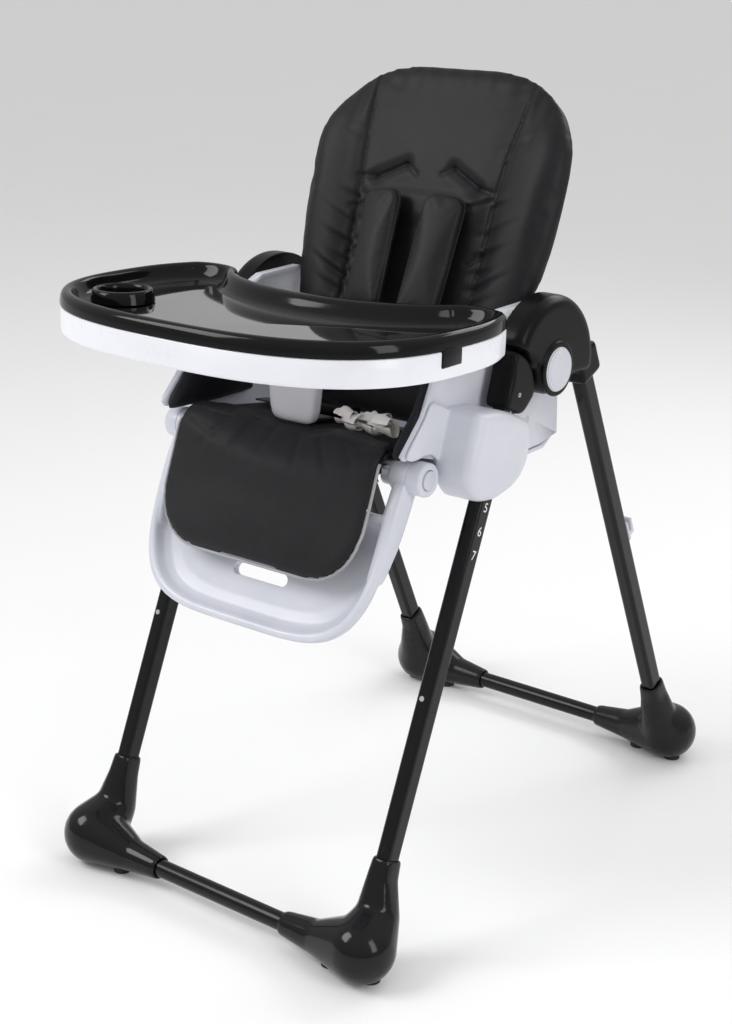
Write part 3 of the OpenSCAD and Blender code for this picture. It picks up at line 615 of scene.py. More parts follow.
def back_creases(obj):
    """Pulls the seams in and lays soft wrinkles beside them."""
    co = points(obj)
    inv = np.array(INV_BACK)
    fwd = np.array(ON_BACK.to_3x3() @ Vector((0, 1, 0)))
    local = co @ inv[:3, :3].T + inv[:3, 3]
    out = np.zeros(len(co))
    for i, (x, y, v) in enumerate(local):
        if y > BACK_REAR - 0.004:
            continue
        side = 1 if x > 0 else -1
        seam = abs(x) - through(SEAM_HALF, v)
        wob = 0.0012 * noise.noise(Vector((v * 30, side * 3.0, 0.5)))
        groove = bell(seam + wob, 0.0017) * 0.0032 * (1 - 0.5 * step(0.34, 0.42, v))
        lip = bell(seam - 0.006, 0.0045) * 0.0012
        low = noise.noise(Vector((x * 8, v * 5, 7.7))) * 0.0032 * step(0.0, 0.03, abs(seam))
        pleats = 0.0
        for k, (at, deep) in enumerate(PLEATS):
            d = v - at - side * 0.004 - (0.28 + 0.1 * k % 0.3) * max(0.0, seam)
            reach = 0.020 + 0.006 * ((k * 7) % 3)
            if seam > -0.002:
                ridge = bell(d, 0.0042) * 0.0036 - bell(d - 0.010, 0.0055) * 0.0016
                pleats += ridge * bell(seam, reach) * deep
            else:
                pleats += bell(v - at - 0.006 - seam * 0.2, 0.0048) * bell(seam, 0.017) * 0.0022 * deep
        pull = 0.0
        for line in NOTCHES:
            d = near_line(x, v, line)
            pull += bell(d, 0.0020) * 0.0040 + bell(d, 0.010) * 0.0022 - bell(d - 0.015, 0.008) * 0.0010
        for line in FOLDS:
            pull += bell(near_line(x, v, line), 0.0040) * 0.0024
        band = step(0.285, 0.265, v) * step(0.225, 0.25, v) * step(0.11, 0.08, abs(x))
        out[i] = groove - lip + pull + pleats + low - 0.004 * band
        if v > 0.40:
            out[i] += 0.0006 * math.sin(x * 190 + 3 * noise.noise(Vector((x * 12, 0, 2)))) * step(
                0.40, 0.445, v) * step(0.135, 0.11, abs(x))
    set_points(obj, co + out[:, None] * fwd)


back = back_form()
puff(back, 0.005, 4.0, 0.012, back_sewn, stiffness=5.0)
finish_cushion(back, 2, 1)
back_creases(back)
stand_for(back, "backrest", "back_pad", SKIN)


def on_surface(obj, origin, direction, lift=0.0):
    hit, place_, normal, _ = obj.ray_cast(origin, direction)
    return place_ + normal * lift if hit else None


def stitches(name, obj, path, direction, body, length=0.0034, gap=0.0017):
    """A row of short threads sewn into a surface along a path."""
    pieces = []
    total = [0.0]
    for a, b in zip(path, path[1:]):
        total.append(total[-1] + (b - a).length)
    at = 0.0
    while at + length < total[-1]:
        ends = []
        for d in (at, at + length):
            k = next((i for i in range(len(total) - 1) if total[i + 1] >= d), 0)
            p = path[k].lerp(path[k + 1], (d - total[k]) / max(1e-9, total[k + 1] - total[k]))
            ends.append(on_surface(obj, p, direction, 0.0001))
        if all(ends) and (ends[1] - ends[0]).length < length * 2:
            pieces.append(ends)
        at += length + gap
    made = []
    for a, b in pieces:
        mid = (a + b) / 2
        ops.mesh.primitive_cylinder_add(vertices=6, radius=0.00042, depth=(b - a).length, location=mid,
                                        rotation=(b - a).to_track_quat("Z", "Y").to_euler())
        made.append(bpy.context.object)
    return stand_for(settle(joined(made, clean=False), name), body, None, THREAD)


bpy.context.view_layer.update()
for side in (-1, 1):
    seam = [ON_BACK @ Vector((side * (through(SEAM_HALF, v) - 0.0065), -0.2, v))
            for v in np.linspace(0.02, 0.425, 60)]
    stitches(f"back_seam_thread_{'left' if side < 0 else 'right'}", back, seam,
             ON_BACK.to_3x3() @ Vector((0, 1, 0)), "backrest")


# Shoulder pads ------------------------------------------------------------------------
def slab(name, outline, matrix, y0, y1, soft=0.006):
    """A pillow-edged slab from an outline of (x, z) points, between two depths."""
    rings = []
    for y, g in ((y0, 4 * soft), (y0, soft), (y0 + soft * 0.3, soft * 0.3), (y0 + soft, 0), (y1 - soft, 0),
                 (y1 - soft * 0.3, soft * 0.3), (y1, soft), (y1, 4 * soft)):
        rings.append([matrix @ Vector((x, y, z)) for x, z in drawn_in(outline, g)])
    return loft(name, rings)


def pad_outline(x0, x1, z0, z1, r_low, r_high, n=8):
    out = []
    for cx, cz, r, a0 in ((x1 - r_high, z1 - r_high, r_high, 0), (x0 + r_high, z1 - r_high, r_high, 90),
                          (x0 + r_low, z0 + r_low, r_low, 180), (x1 - r_low, z0 + r_low, r_low, 270)):
        for i in range(n):
            a = math.radians(a0 + 90 * i / (n - 1))
            out.append((cx + r * math.cos(a), cz + r * math.sin(a)))
    return filled(out, 0.008)


PAD = pad_outline(-0.030, 0.030, 0.0, 0.165, 0.008, 0.017)
for side, word in SIDES:
    lean = ON_BACK @ Matrix.Translation((side * 0.051, -0.064, 0.266))
    for angle, axis in ((-5, "X"), (-3 if side < 0 else 1, "Y"), (side * 9, "Z")):
        lean = lean @ Matrix.Rotation(math.radians(angle), 4, axis)
    lean = lean @ Matrix.Translation((0, 0, -0.160))
    form = slab(f"shoulder_cushion_{word}", PAD, lean, -0.016, 0.004, 0.005)
    inv = lean.inverted()

    def pad_sewn(co, normal, inv=inv):
        p = inv @ Vector(co)
        return 1.0 if p.y > 0.002 else 0.0

    puff(form, 0.0035, 3.0, 0.006, pad_sewn, frames=14)
    finish_cushion(form, 2, 1)
    stand_for(form, "backrest", f"shoulder_pad_{word}", SKIN_SOFT)
    edge = [lean @ Vector((x * 1.02, -0.0055, 0.0825 + (z - 0.0825) * 1.008)) for x, z in PAD]
    piping = tube(f"shoulder_piping_{word}", edge, 0.0016, 8, closed=True)
    smooth_shade(piping, 60)
    stand_for(piping, "backrest", None, SKIN)

# Seat cushion --------------------------------------------------------------------------
def seat_form():
    """A low cushion that runs back from the fold and turns down over the seat's front edge."""
    path = [(-0.244, 0.612), (-0.241, 0.626), (-0.236, 0.641), (-0.230, 0.6505), (-0.221, 0.6555)]
    path += [(y, 0.6555 - (y + 0.221) * math.tan(math.radians(10)))
             for y in np.linspace(-0.208, -0.066, 14)]
    rings = []
    for i, (y, z) in enumerate(path):
        down = Vector((0, *((0.95, -0.1) if i < 3 else (0.5, -0.85) if i < 5 else (-0.17, -0.985))))
        deep = (0.011 if i < 4 else 0.022) * (0.5 if i in (0, len(path) - 1) else 1)
        ring = []
        for a in turns(64):
            x = 0.166 * squared(math.cos(a), 0.4)
            dip = 0.006 * step(0.062, 0.040, abs(x)) * step(-0.19, -0.205, y)
            ring.append(Vector((x, y, z - dip)) + down * deep * (0.5 - 0.5 * squared(math.sin(a), 0.7)))
        rings.append(ring)
    return loft("seat_cushion", rings)


seat = seat_form()


def seat_sewn(co, normal):
    channel = min(abs(abs(co[0]) - 0.098), abs(co[1] + 0.150) if abs(co[0]) < 0.098 else 1)
    if normal[2] < -0.3 or normal[1] > 0.6 or (abs(co[0]) < 0.062 and co[1] < -0.16):
        return 1.0
    return 1.0 - step(0.003, 0.007, channel)


puff(seat, 0.005, 3.5, 0.006, seat_sewn, frames=16)
finish_cushion(seat, 2, 1)
stand_for(seat, "seat", "seat_pad", SKIN)

# The cushion's raised sides, inside the seat's walls
BOLSTER = [(-0.246, 0.648), (-0.240, 0.664), (-0.222, 0.682), (-0.205, 0.700), (-0.190, 0.724),
           (-0.182, 0.750), (-0.176, 0.761), (-0.140, 0.764), (-0.092, 0.759), (-0.080, 0.738),
           (-0.078, 0.640), (-0.150, 0.640), (-0.215, 0.646)]


def bolster_sewn(co, normal):
    return 1.0 if abs(normal[0]) < 0.2 or abs(co[0]) > 0.195 else 0.0


for side, word in SIDES:
    dense = filled(BOLSTER, 0.006)
    rings = [[Vector((side * x, y, z)) for y, z in drawn_in(dense, g)]
             for x, g in ((0.1990, 0.006), (0.1970, 0.001), (0.1930, 0.0), (0.1870, 0.001), (0.1830, 0.005),
                          (0.1815, 0.012))]
    form = loft(f"seat_side_cushion_{word}", rings)
    puff(form, 0.004, 3.0, 0.004, bolster_sewn, frames=12)
    finish_cushion(form, 3, 0)
    stand_for(form, "seat", None, SKIN)


# Calf flap ------------------------------------------------------------------------------
# The flap's path, with the distance along it: over the seat's front edge and down
FLAP_PATH = [(0.000, -0.2030, 0.6560), (0.014, -0.2165, 0.6598), (0.026, -0.2280, 0.6600),
             (0.038, -0.2375, 0.6535), (0.055, -0.2480, 0.6390), (0.085, -0.2590, 0.6095),
             (0.120, -0.2725, 0.5755), (0.160, -0.2880, 0.5385), (0.212, -0.3055, 0.4895)]
FLAP_Y = [(s, y) for s, y, z in FLAP_PATH]
FLAP_Z = [(s, z) for s, y, z in FLAP_PATH]
FLAP_END = 0.212
FLAP_CORNER = 0.072


def flap_half(s):
    return through([(0.0, 0.166), (0.04, 0.1690), (0.11, 0.1700), (0.16, 0.1690), (0.212, 0.168)], s)


def flap_edge(x, s):
    """How far a place lies inside the flap's outline."""
    half = flap_half(s)
    side, end = half - abs(x), FLAP_END - s
    if side < FLAP_CORNER and end < FLAP_CORNER:
        return FLAP_CORNER - math.hypot(FLAP_CORNER - side, FLAP_CORNER - end)
    return min(side, end)


def flap_place(x, s, lift):
    y, z = through(FLAP_Y, s), through(FLAP_Z, s)
    ya, za = through(FLAP_Y, max(0, s - 0.006)), through(FLAP_Z, max(0, s - 0.006))
    yb, zb = through(FLAP_Y, min(FLAP_END, s + 0.006)), through(FLAP_Z, min(FLAP_END, s + 0.006))
    t = Vector((0, yb - ya, zb - za)).normalized()
    n = Vector((0, t.z, -t.y))
    droop = 0.006 * step(0.10, 0.17, abs(x)) * math.exp(-((s - 0.026) / 0.03) ** 2)
    dip = 0.0075 * step(0.075, 0.045, abs(x)) * step(0.050, 0.026, s)
    bow = 0.003 * math.cos(x * 8.5) * step(0.03, 0.12, s)
    return Vector((x, y, z - droop - dip)) + n * (lift + bow)


def flap_form():
    """The padded flap: rings drawn in from its outline, front and back, then closed."""
    r, hx = FLAP_CORNER, flap_half(FLAP_END)
    edge = [(flap_half(s), s) for s in (FLAP_END - r) * np.arange(1, 34) / 33]
    corner = [(hx - r + r * math.cos(a), FLAP_END - r + r * math.sin(a))
              for a in math.pi / 2 * np.arange(1, 16) / 16]
    outline = [(flap_half(0) * (i / 30 - 1), 0.0) for i in range(61)] + edge + corner
    outline += [((hx - r) * (1 - i / 20), FLAP_END) for i in range(41)]
    outline += [(-x, s) for x, s in reversed(edge[:-1] + corner)]
    rings = []
    for k, lift in ((0.02, -0.0035), (0.35, -0.0035), (0.70, -0.0035), (0.90, -0.0035), (0.975, -0.003),
                    (0.995, -0.0018), (1.0, 0.0), (0.995, 0.0018), (0.975, 0.0032), (0.90, 0.0045),
                    (0.70, 0.0050), (0.35, 0.0050), (0.02, 0.0050)):
        middle = FLAP_END * 0.5 * (1 - k)
        rings.append([flap_place(x * k, middle + s * k, lift) for x, s in outline])
    return loft("calf_flap", rings)


def flap_s(co):
    """Distance down the flap of a place on it."""
    if co[1] < FOLD.y:
        return float(np.interp(-co[2], [-z for _, z in FLAP_Z[2:]], [s for s, _ in FLAP_Z[2:]]))
    return float(np.interp(-co[1], [-y for _, y in FLAP_Y[:3]], [s for s, _ in FLAP_Y[:3]]))


flap = flap_form()


def flap_sewn(co, normal):
    if normal[1] > 0.3 or normal[2] < -0.5:
        return 1.0
    return 1.0 - step(0.006, 0.016, flap_edge(co[0], flap_s(co)))


puff(flap, 0.0045, 3.0, 0.005, flap_sewn, frames=16)
finish_cushion(flap, 2, 1)
co = points(flap)
# Slack folds below the fold line: place at the top and lower down, width and depth
FLAP_FOLDS = ((-0.085, -0.118, 0.007, 0.0022), (-0.050, -0.066, 0.006, 0.0030),
              (-0.010, -0.020, 0.008, 0.0028), (0.030, 0.046, 0.006, 0.0032),
              (0.066, 0.100, 0.007, 0.0026), (0.110, 0.140, 0.008, 0.0020))
for i, p in enumerate(co):
    s = flap_s(p)
    soft = noise.noise(Vector((p[0] * 11, s * 14, 1.7))) * 0.0030 * step(0.03, 0.08, s)
    fan = step(0.03, 0.085, s)
    fold = sum(bell(p[0] - x0 - (x1 - x0) * fan, wide) * deep for x0, x1, wide, deep in FLAP_FOLDS)
    fold *= bell(s - 0.052, 0.024)
    fold += 0.0016 * bell(s - 0.0335, 0.0028) * step(0.165, 0.13, abs(p[0]))
    co[i][1] += (soft + fold) * step(0.0, 0.02, flap_edge(p[0], s))
set_points(flap, co)


def across_fold(obj, finish):
    """Gives a piece its finish and puts its place into its mesh."""
    obj.data.materials.clear()
    obj.data.materials.append(finish)
    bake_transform(obj)


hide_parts("calf_pad")
across_fold(flap, SKIN_SOFT)
rim = [(flap_half(s), s) for s in np.linspace(0.05, FLAP_END - FLAP_CORNER, 14)]
hx = flap_half(FLAP_END)
rim += [(hx - FLAP_CORNER * (1 - math.cos(a)), FLAP_END - FLAP_CORNER * (1 - math.sin(a)))
        for a in np.linspace(0.1, math.pi / 2, 10)]
rim += [(x, FLAP_END) for x in np.linspace(hx - FLAP_CORNER - 0.01, 0, 12)]
rim += [(-x, s) for x, s in reversed(rim[:-1])]
binding = tube("flap_binding", [flap_place(x * 0.996, s - 0.0002, -0.0010) for x, s in rim], 0.0020)
across_fold(smooth_shade(binding, 60), BINDING)


# Tray -----------------------------------------------------------------------------------
def tray_ring(g, cut, z, n_front=84):
    """The tray's closed outline, drawn in by g outside and by cut round the child's side, at height z."""
    w, d = 0.288 - g, 0.217 - g
    outer = []
    for i in range(n_front + 1):
        a = math.pi * (0.5 + 0.5 * i / n_front)
        y = -d * math.sin(a) ** (2 / 2.35)
        x = w * (max(0.0, 1 - abs(y / d) ** 2.63)) ** (1 / 2.63)
        outer.append((x, y))
    y_end = 0.112 - g * 0.3
    for i in range(1, 15):
        y = y_end * i / 14
        outer.append((w * (1 - (y / d) ** 2.63) ** (1 / 2.63), y))
    xc, yc, r = 0.2232, 0.112, 0.0262
    x_out = outer[-1][0]
    rx = max(0.004, (x_out - (0.6 * 0.288 + cut * 0.55 + 0.003)) / 2)
    mid = x_out - rx
    for i in range(1, 16):
        a = math.pi * i / 16
        outer.append((mid + rx * math.cos(a), y_end + max(0.004, r - g * 0.8) * math.sin(a)))
    hw, hd = 0.6 * 0.288 + 0.55 * cut, 0.088 + cut
    x_in, y_in = mid - rx, y_end
    top = 0.141
    t0 = math.asin(min(1, (top - y_in) / hd))
    hollow = []
    for i in range(49):
        a = t0 + (math.pi / 2 - t0) * i / 48
        hollow.append((hw * math.cos(a), top - hd * math.sin(a)))
    scale = x_in / max(1e-6, hollow[0][0])
    hollow = [(x * (1 + (scale - 1) * (1 - i / 48)), y) for i, (x, y) in enumerate(hollow)]
    half = outer + hollow
    full = half + [(-x, y) for x, y in reversed(half[1:-1])]
    out = []
    for i, (x, y) in enumerate(full):
        (xa, ya), (xb, yb) = full[i - 1], full[(i + 1) % len(full)]
        out.append(ON_TRAY @ Vector(((xa + 2 * x + xb) / 4, (ya + 2 * y + yb) / 4, z)))
    return out


def tray_shell(name, profile):
    """A body of the tray's outline through stops of (outer inset, inner inset, height)."""
    return smooth_shade(loft(name, [tray_ring(*stop) for stop in profile]), 50)


tray_body = tray_shell("tray_shell", [
    (0.0060, 0.0060, 0.0215), (0.0040, 0.0040, 0.0200), (0.0036, 0.0036, 0.0020), (0.0030, 0.0030, 0.0006),
    (0.0018, 0.0018, 0.0000), (0.0006, 0.0006, 0.0012), (0.0002, 0.0002, 0.0040), (0.0, 0.0, 0.0150),
    (0.0, 0.0, 0.0325), (0.0008, 0.0008, 0.0337), (0.0024, 0.0024, 0.0340), (0.0034, 0.0034, 0.0334),
    (0.0036, 0.0036, 0.0250), (0.0060, 0.0060, 0.0240), (0.0200, 0.0200, 0.0240)])
stand_for(tray_body, "tray", "tray_body", TRAY_WHITE)

insert = tray_shell("tray_inlay", [
    (0.0300, 0.0400, 0.0247), (0.0080, 0.0080, 0.0247), (0.0048, 0.0048, 0.0262),
    (0.0046, 0.0046, 0.0342), (0.0010, 0.0010, 0.0346), (-0.0004, -0.0004, 0.0352),
    (-0.0006, -0.0006, 0.0380), (0.0002, 0.0002, 0.0450), (0.0018, 0.0018, 0.0500),
    (0.0044, 0.0050, 0.0530), (0.0080, 0.0095, 0.0542), (0.0115, 0.0150, 0.0536),
    (0.0140, 0.0195, 0.0510), (0.0155, 0.0225, 0.0470), (0.0175, 0.0260, 0.0420),
    (0.0200, 0.0300, 0.0370), (0.0235, 0.0345, 0.0338), (0.0270, 0.0385, 0.0326),
    (0.0280, 0.0400, 0.0318), (0.0300, 0.0430, 0.0315)])
stand_for(insert, "tray_insert", "tray_insert", TRAY_BLACK)

dish = tray_shell("tray_inlay_floor", [(0.0285, 0.041, 0.0312), (0.0285, 0.041, 0.0321),
                                       (0.0292, 0.042, 0.0323)])
stand_for(dish, "tray_insert", None, TRAY_FLOOR)


CUP_X, CUP_Y = -0.197, -0.081
CUP = [(0.0300, 0.0330), (0.0405, 0.0330), (0.0420, 0.0345), (0.0408, 0.0420), (0.0395, 0.0480),
       (0.0380, 0.0500), (0.0350, 0.0505), (0.0328, 0.0490), (0.0318, 0.0450), (0.0312, 0.0300),
       (0.0306, 0.0110), (0.0285, 0.0085), (0.0010, 0.0080)]
cup = loft("cup_ring", [[ON_TRAY @ Vector((CUP_X + r * math.cos(a), CUP_Y + r * math.sin(a), z))
                         for a in turns(72)] for r, z in CUP])
smooth_shade(cup, 50)
stand_for(cup, "tray_insert", None, TRAY_BLACK)

for side, word in SIDES:
    ops.mesh.primitive_cube_add(size=1, location=(side * 0.2815, -0.025, 0.0265))
    clip = bpy.context.object
    clip.scale = (0.0140, 0.040, 0.026)
    settle(clip, f"inlay_clip_{word}", ON_TRAY)
    apply(clip, "BEVEL", width=0.003, segments=3)
    smooth_shade(clip, 40)
    stand_for(clip, "tray_insert", None, TRAY_BLACK)

# Crotch post
POST_Y = 0.034
POST = ((0.0205, 0.0460, 0.0150), (0.0, 0.0455, 0.0148), (-0.040, 0.0425, 0.0142),
        (-0.080, 0.0390, 0.0134), (-0.096, 0.0372, 0.0128), (-0.105, 0.0350, 0.0118),
        (-0.1105, 0.0312, 0.0098), (-0.1130, 0.0250, 0.0065), (-0.1136, 0.0170, 0.0030))
post_rings = [[ON_TRAY @ Vector((hx * squared(math.cos(a), 0.4), POST_Y + hy * squared(math.sin(a), 0.6), z))
               for a in turns(64)] for z, hx, hy in POST]
post = smooth_shade(loft("crotch_guard", post_rings), 60)
stand_for(post, "tray", "crotch_post", POST_GREY)


# Footrest -----------------------------------------------------------------------------------
FOOT_W, FOOT_L, FOOT_N = 0.198, 0.242, 4.4          # half width, length and squareness of its outline


def foot_ring(g, y, top):
    """A tub outline in the footrest's own plane: straight top, oval lower corners."""
    w, l = FOOT_W - g, FOOT_L - g
    out = []
    for i in range(97):
        a = math.pi * i / 96
        out.append((w * squared(math.cos(a), 2 / FOOT_N), min(-l * math.sin(a) ** (2 / FOOT_N), top)))
    n_top = 24
    out += [(-w + 2 * w * j / n_top, top) for j in range(1, n_top)]
    return [ON_FOOT @ Vector((x, y, z)) for x, z in out]


FRONT, BACK = -0.022, 0.012
tub = loft("footrest_tub", [foot_ring(*stop) for stop in (
    (0.060, BACK - 0.0005, -0.085), (0.030, BACK - 0.001, -0.075), (0.016, BACK - 0.004, -0.068),
    (0.007, BACK - 0.011, -0.062), (0.002, BACK - 0.020, -0.058), (0.0, FRONT + 0.008, -0.056),
    (0.0006, FRONT + 0.003, -0.0562), (0.0030, FRONT + 0.0006, -0.058), (0.0065, FRONT, -0.061),
    (0.0095, FRONT + 0.0006, -0.064), (0.0120, FRONT + 0.003, -0.067), (0.0135, FRONT + 0.008, -0.069),
    (0.0165, FRONT + 0.014, -0.074), (0.0240, FRONT + 0.0190, -0.082), (0.0380, FRONT + 0.0214, -0.094),
    (0.0620, FRONT + 0.0220, -0.110))])


def foot_half(z):
    return FOOT_W * max(0.0, 1 - abs(z / FOOT_L) ** FOOT_N) ** (1 / FOOT_N)


ARM = ((0.006, 0.1765, -0.014, 0.012), (-0.020, 0.1765, -0.0195, 0.0125),
       (-0.045, 0.1768, -0.0218, 0.0120), (-0.070, 0.1775, -0.0220, 0.0105),
       (-0.095, 0.1785, -0.0215, 0.0080), (-0.120, 0.1780, -0.0205, 0.0040),
       (-0.140, 0.1770, -0.0180, 0.0000))
KNOB = ((0.170, 0.004), (0.1695, 0.019), (0.1705, 0.0212), (0.1725, 0.0220), (0.1945, 0.0220),
        (0.1950, 0.0214), (0.1960, 0.0214), (0.1965, 0.0220), (0.2140, 0.0220), (0.2165, 0.0212),
        (0.2175, 0.0190), (0.2176, 0.0140), (0.2170, 0.0133), (0.2080, 0.0131), (0.2078, 0.0020))
arms, knobs = [tub], []
for side, word in SIDES:
    arm_rings = []
    for z, x0, y0, y1 in ARM:
        x1 = foot_half(z) - 0.0002
        arm_rings.append([ON_FOOT @ Vector((
            side * ((x0 + x1) / 2 + (x1 - x0) / 2 * squared(math.cos(a), 0.35)),
            (y0 + y1) / 2 + (y1 - y0) / 2 * squared(math.sin(a), 0.35), z)) for a in turns(40)])
    arms.append(loft("arm", arm_rings))
    knobs.append(loft("knob", [[KNUCKLE + Vector((side * x, r * math.cos(a), r * math.sin(a)))
                                for a in turns(48)] for x, r in KNOB]))


tub = melted(joined(arms), 0.0020, 6, 0.5)
SLOT_X, SLOT_R, SLOT_Z = 0.038, 0.0085, -0.170
cutter = loft("slot_cutter", [[ON_FOOT @ Vector((math.copysign(SLOT_X, math.cos(a)) + SLOT_R * math.cos(a), y,
                                                 SLOT_Z + SLOT_R * math.sin(a)))
                               for a in turns(48, 0.01)] for y in (-0.030, 0.030)])
apply(tub, "BOOLEAN", operation="DIFFERENCE", object=cutter, solver="EXACT")
bpy.data.objects.remove(cutter)
smooth_shade(tub, 40)
for o in knobs:
    smooth_shade(o, 50)
tub = joined([tub] + knobs)
stand_for(tub, "footrest", "footrest_frame", FOOT_WHITE)


def pillow(name, outline, x_in, x_out, r, side):
    """A cover seen from the side: an outline of (y, z) points, its outer edges rounded by r."""
    dense = filled(outline, 0.004)
    for _ in range(3):
        after = dense[1:] + dense[:1]
        dense = [tuple((dense[i - 1][c] + 2 * dense[i][c] + after[i][c]) / 4 for c in (0, 1))
                 for i in range(len(dense))]
    stops = [(x_in, 0.0), (x_out - r, 0.0)] + [(x_out - r + r * math.sin(a), r * (1 - math.cos(a)))
                                              for a in np.linspace(0.25, 1.5, 6)]
    return loft(name, [[Vector((side * x, y, z)) for y, z in drawn_in(dense, g)] for x, g in stops])


SLEEVE = [(-0.157, 0.701), (-0.110, 0.694), (-0.078, 0.683), (-0.044, 0.667), (-0.0395, 0.655),
          (-0.041, 0.622), (-0.050, 0.604), (-0.064, 0.590), (-0.082, 0.582), (-0.117, 0.576),
          (-0.148, 0.581), (-0.163, 0.588), (-0.174, 0.602), (-0.180, 0.616),
          (-0.181, 0.632), (-0.176, 0.650)]
COVER = [(-0.192, 0.716), (-0.157, 0.700), (-0.120, 0.640), (-0.175, 0.612), (-0.1765, 0.634),
         (-0.190, 0.647), (-0.208, 0.6485), (-0.226, 0.6465), (-0.242, 0.650),
         (-0.2435, 0.658), (-0.204, 0.697)]
for side, word in SIDES:
    shell = joined([pillow(f"sleeve_{word}", SLEEVE, 0.2052, 0.2618, 0.016, side),
                    pillow(f"cover_{word}", COVER, 0.2052, 0.2112, 0.002, side)])
    melted(shell, 0.0016, 14, 0.45)
    shell.name = f"side_cover_{word}"
    smooth_shade(shell, 180)
    stand_for(shell, "seat", f"side_housing_{word}", WHITE)

# Hard parts taken from the frame -------------------------------------------------------------
for word in ("left", "right"):
    moulded(f"front_boot_{word}", "front_frame", BOOT_BLACK)
    moulded(f"rear_boot_{word}", "rear_frame", REAR_BLACK)
    trimmed(f"hub_button_{word}", f"hub_button_{word}", BUTTON_GREY, 0.0012)
    trimmed(f"footrest_button_{word}", f"footrest_button_{word}", BUTTON_GREY, 0.0008)
    trimmed(f"height_lever_{word}", f"height_lever_{word}", LEVER_GREY, 0.0015)
    trimmed(f"tray_latch_{word}", f"tray_latch_{word}", LEVER_GREY, 0.0015)
trimmed("seat_shell", "seat", WHITE, 0.0016)
shell = trimmed("backrest_shell", "backrest", WHITE, 0.0014)
co = points(shell)
for i, p in enumerate(co):
    v = INV_BACK @ Vector(p)
    high = step(0.10, 0.20, v.z)
    v.x *= 1 - 0.016 * high
    v.z *= 1 - 0.012 * step(0.25, 0.42, v.z)
    co[i] = ON_BACK @ v
set_points(shell, co)
trimmed("recline_lever", "recline_lever", LEVER_GREY, 0.002)
trimmed("harness_buckle", "seat", HUB_BLACK, 0.003)
trimmed("tray_hooks", "rear_frame", BUTTON_GREY, 0.0015)

# Fold hubs: two domed halves that meet on a curved line and turn on each other ---------------------
DOME_R, BOSS_R = 0.0962, 0.0360


def arc(radius, start, end, n):
    return [(radius * math.cos(a), radius * math.sin(a))
            for a in np.linspace(math.radians(start), math.radians(end), n)]


# Outlines (y, z) about the pivot: the dome with its boss, and the socket below the parting line
DOME = arc(DOME_R, -12, 152, 44) + [(-0.070, 0.0370), (-0.057, 0.0265), (-0.047, 0.0130)] \
    + arc(BOSS_R, 172, 318, 20) + [(0.036, -0.0215), (0.060, -0.0205)]
SOCKET = [(-0.088, 0.0410), (-0.0925, 0.0250), (-0.0975, 0.0050), (-0.1065, -0.0200), (-0.1095, -0.0300),
          (-0.0880, -0.0400), (-0.0680, -0.0490), (-0.0560, -0.0400), (-0.0430, -0.0300),
          (-0.0375, -0.0180), (-0.0400, -0.0050), (-0.0440, 0.0060), (-0.0500, 0.0160),
          (-0.0600, 0.0270), (-0.0720, 0.0350)]
HUB_IN = 0.2170


def hub_half(name, outline, body, node, x_in, x_out, r, side, extra=()):
    outline = [(y + PIVOT.y, z + PIVOT.z) for y, z in outline]
    piece = pillow(name, outline, x_in, x_out, r, side)
    if extra:
        piece = joined([piece] + list(extra))
    melted(piece, 0.0013, 8, 0.4)
    piece.name = name
    smooth_shade(piece, 180)
    return stand_for(piece, body, node, HUB_BLACK)


def sleeve_box(x_out, side):
    """The rear leg's socket: a rounded box down the leg's own line from the pivot's height."""
    turn = Matrix.Translation((0, PIVOT.y + REAR_SET, PIVOT.z)) @ Matrix.Rotation(REAR_LEAN, 4, "X")
    w, r, top, low = 0.0235, 0.006, 0.012, -0.035
    corners = []
    for cy, cz, start in ((w - r, top - r, 0), (-w + r, top - r, 90), (-w + r, low + r, 180),
                          (w - r, low + r, 270)):
        for y, z in arc(r, start, start + 90, 6):
            v = turn @ Vector((0, cy + y, cz + z))
            corners.append((v.y, v.z))
    return pillow("socket", corners, HUB_IN, x_out, r, side)


for side, word in SIDES:
    rear = sleeve_box(0.2535, side)
    ops.mesh.primitive_cylinder_add(vertices=96, radius=0.0362, depth=0.0040, rotation=(0, math.pi / 2, 0),
                                    location=(side * 0.2563, PIVOT.y, PIVOT.z))
    boss = settle(bpy.context.object, "boss")
    hub_half(f"hub_dome_{word}", DOME, "rear_frame", f"hub_cover_{word}", HUB_IN, 0.2553, 0.016, side,
             (rear, boss))
    hub_half(f"hub_inner_{word}", SOCKET, "front_frame", f"hub_socket_{word}", 0.2172, 0.2512, 0.009, side)

# Height numbers on the outer faces of the front legs -------------------------------------------
for side, word in SIDES:
    for i in range(7):
        s = 0.044 + 0.0315 * i
        ops.object.text_add(location=(0, 0, 0))
        t = bpy.context.object
        t.data.body = str(i + 1)
        t.data.size = 0.0175
        t.data.extrude = 0.00012
        t.data.align_x, t.data.align_y = "CENTER", "CENTER"
        pick(t)
        ops.object.convert(target="MESH")
        t = bpy.context.object
        turn = Matrix.Rotation(math.radians(90), 4, "X")
        face = Matrix.Rotation(math.radians(90 if side > 0 else -90), 4, "Z")
        leg = Matrix.Translation((side * LEG_X, PIVOT.y - FRONT_SET, PIVOT.z)) @ Matrix.Rotation(
            -FRONT_LEAN, 4, "X")
        settle(t, f"height_number_{i + 1}_{word}",
               leg @ Matrix.Translation((side * 0.01102, 0, -s)) @ face @ turn)
        tidy(t, 0.00001)
        stand_for(t, "front_frame", None, NUMBER_WHITE)

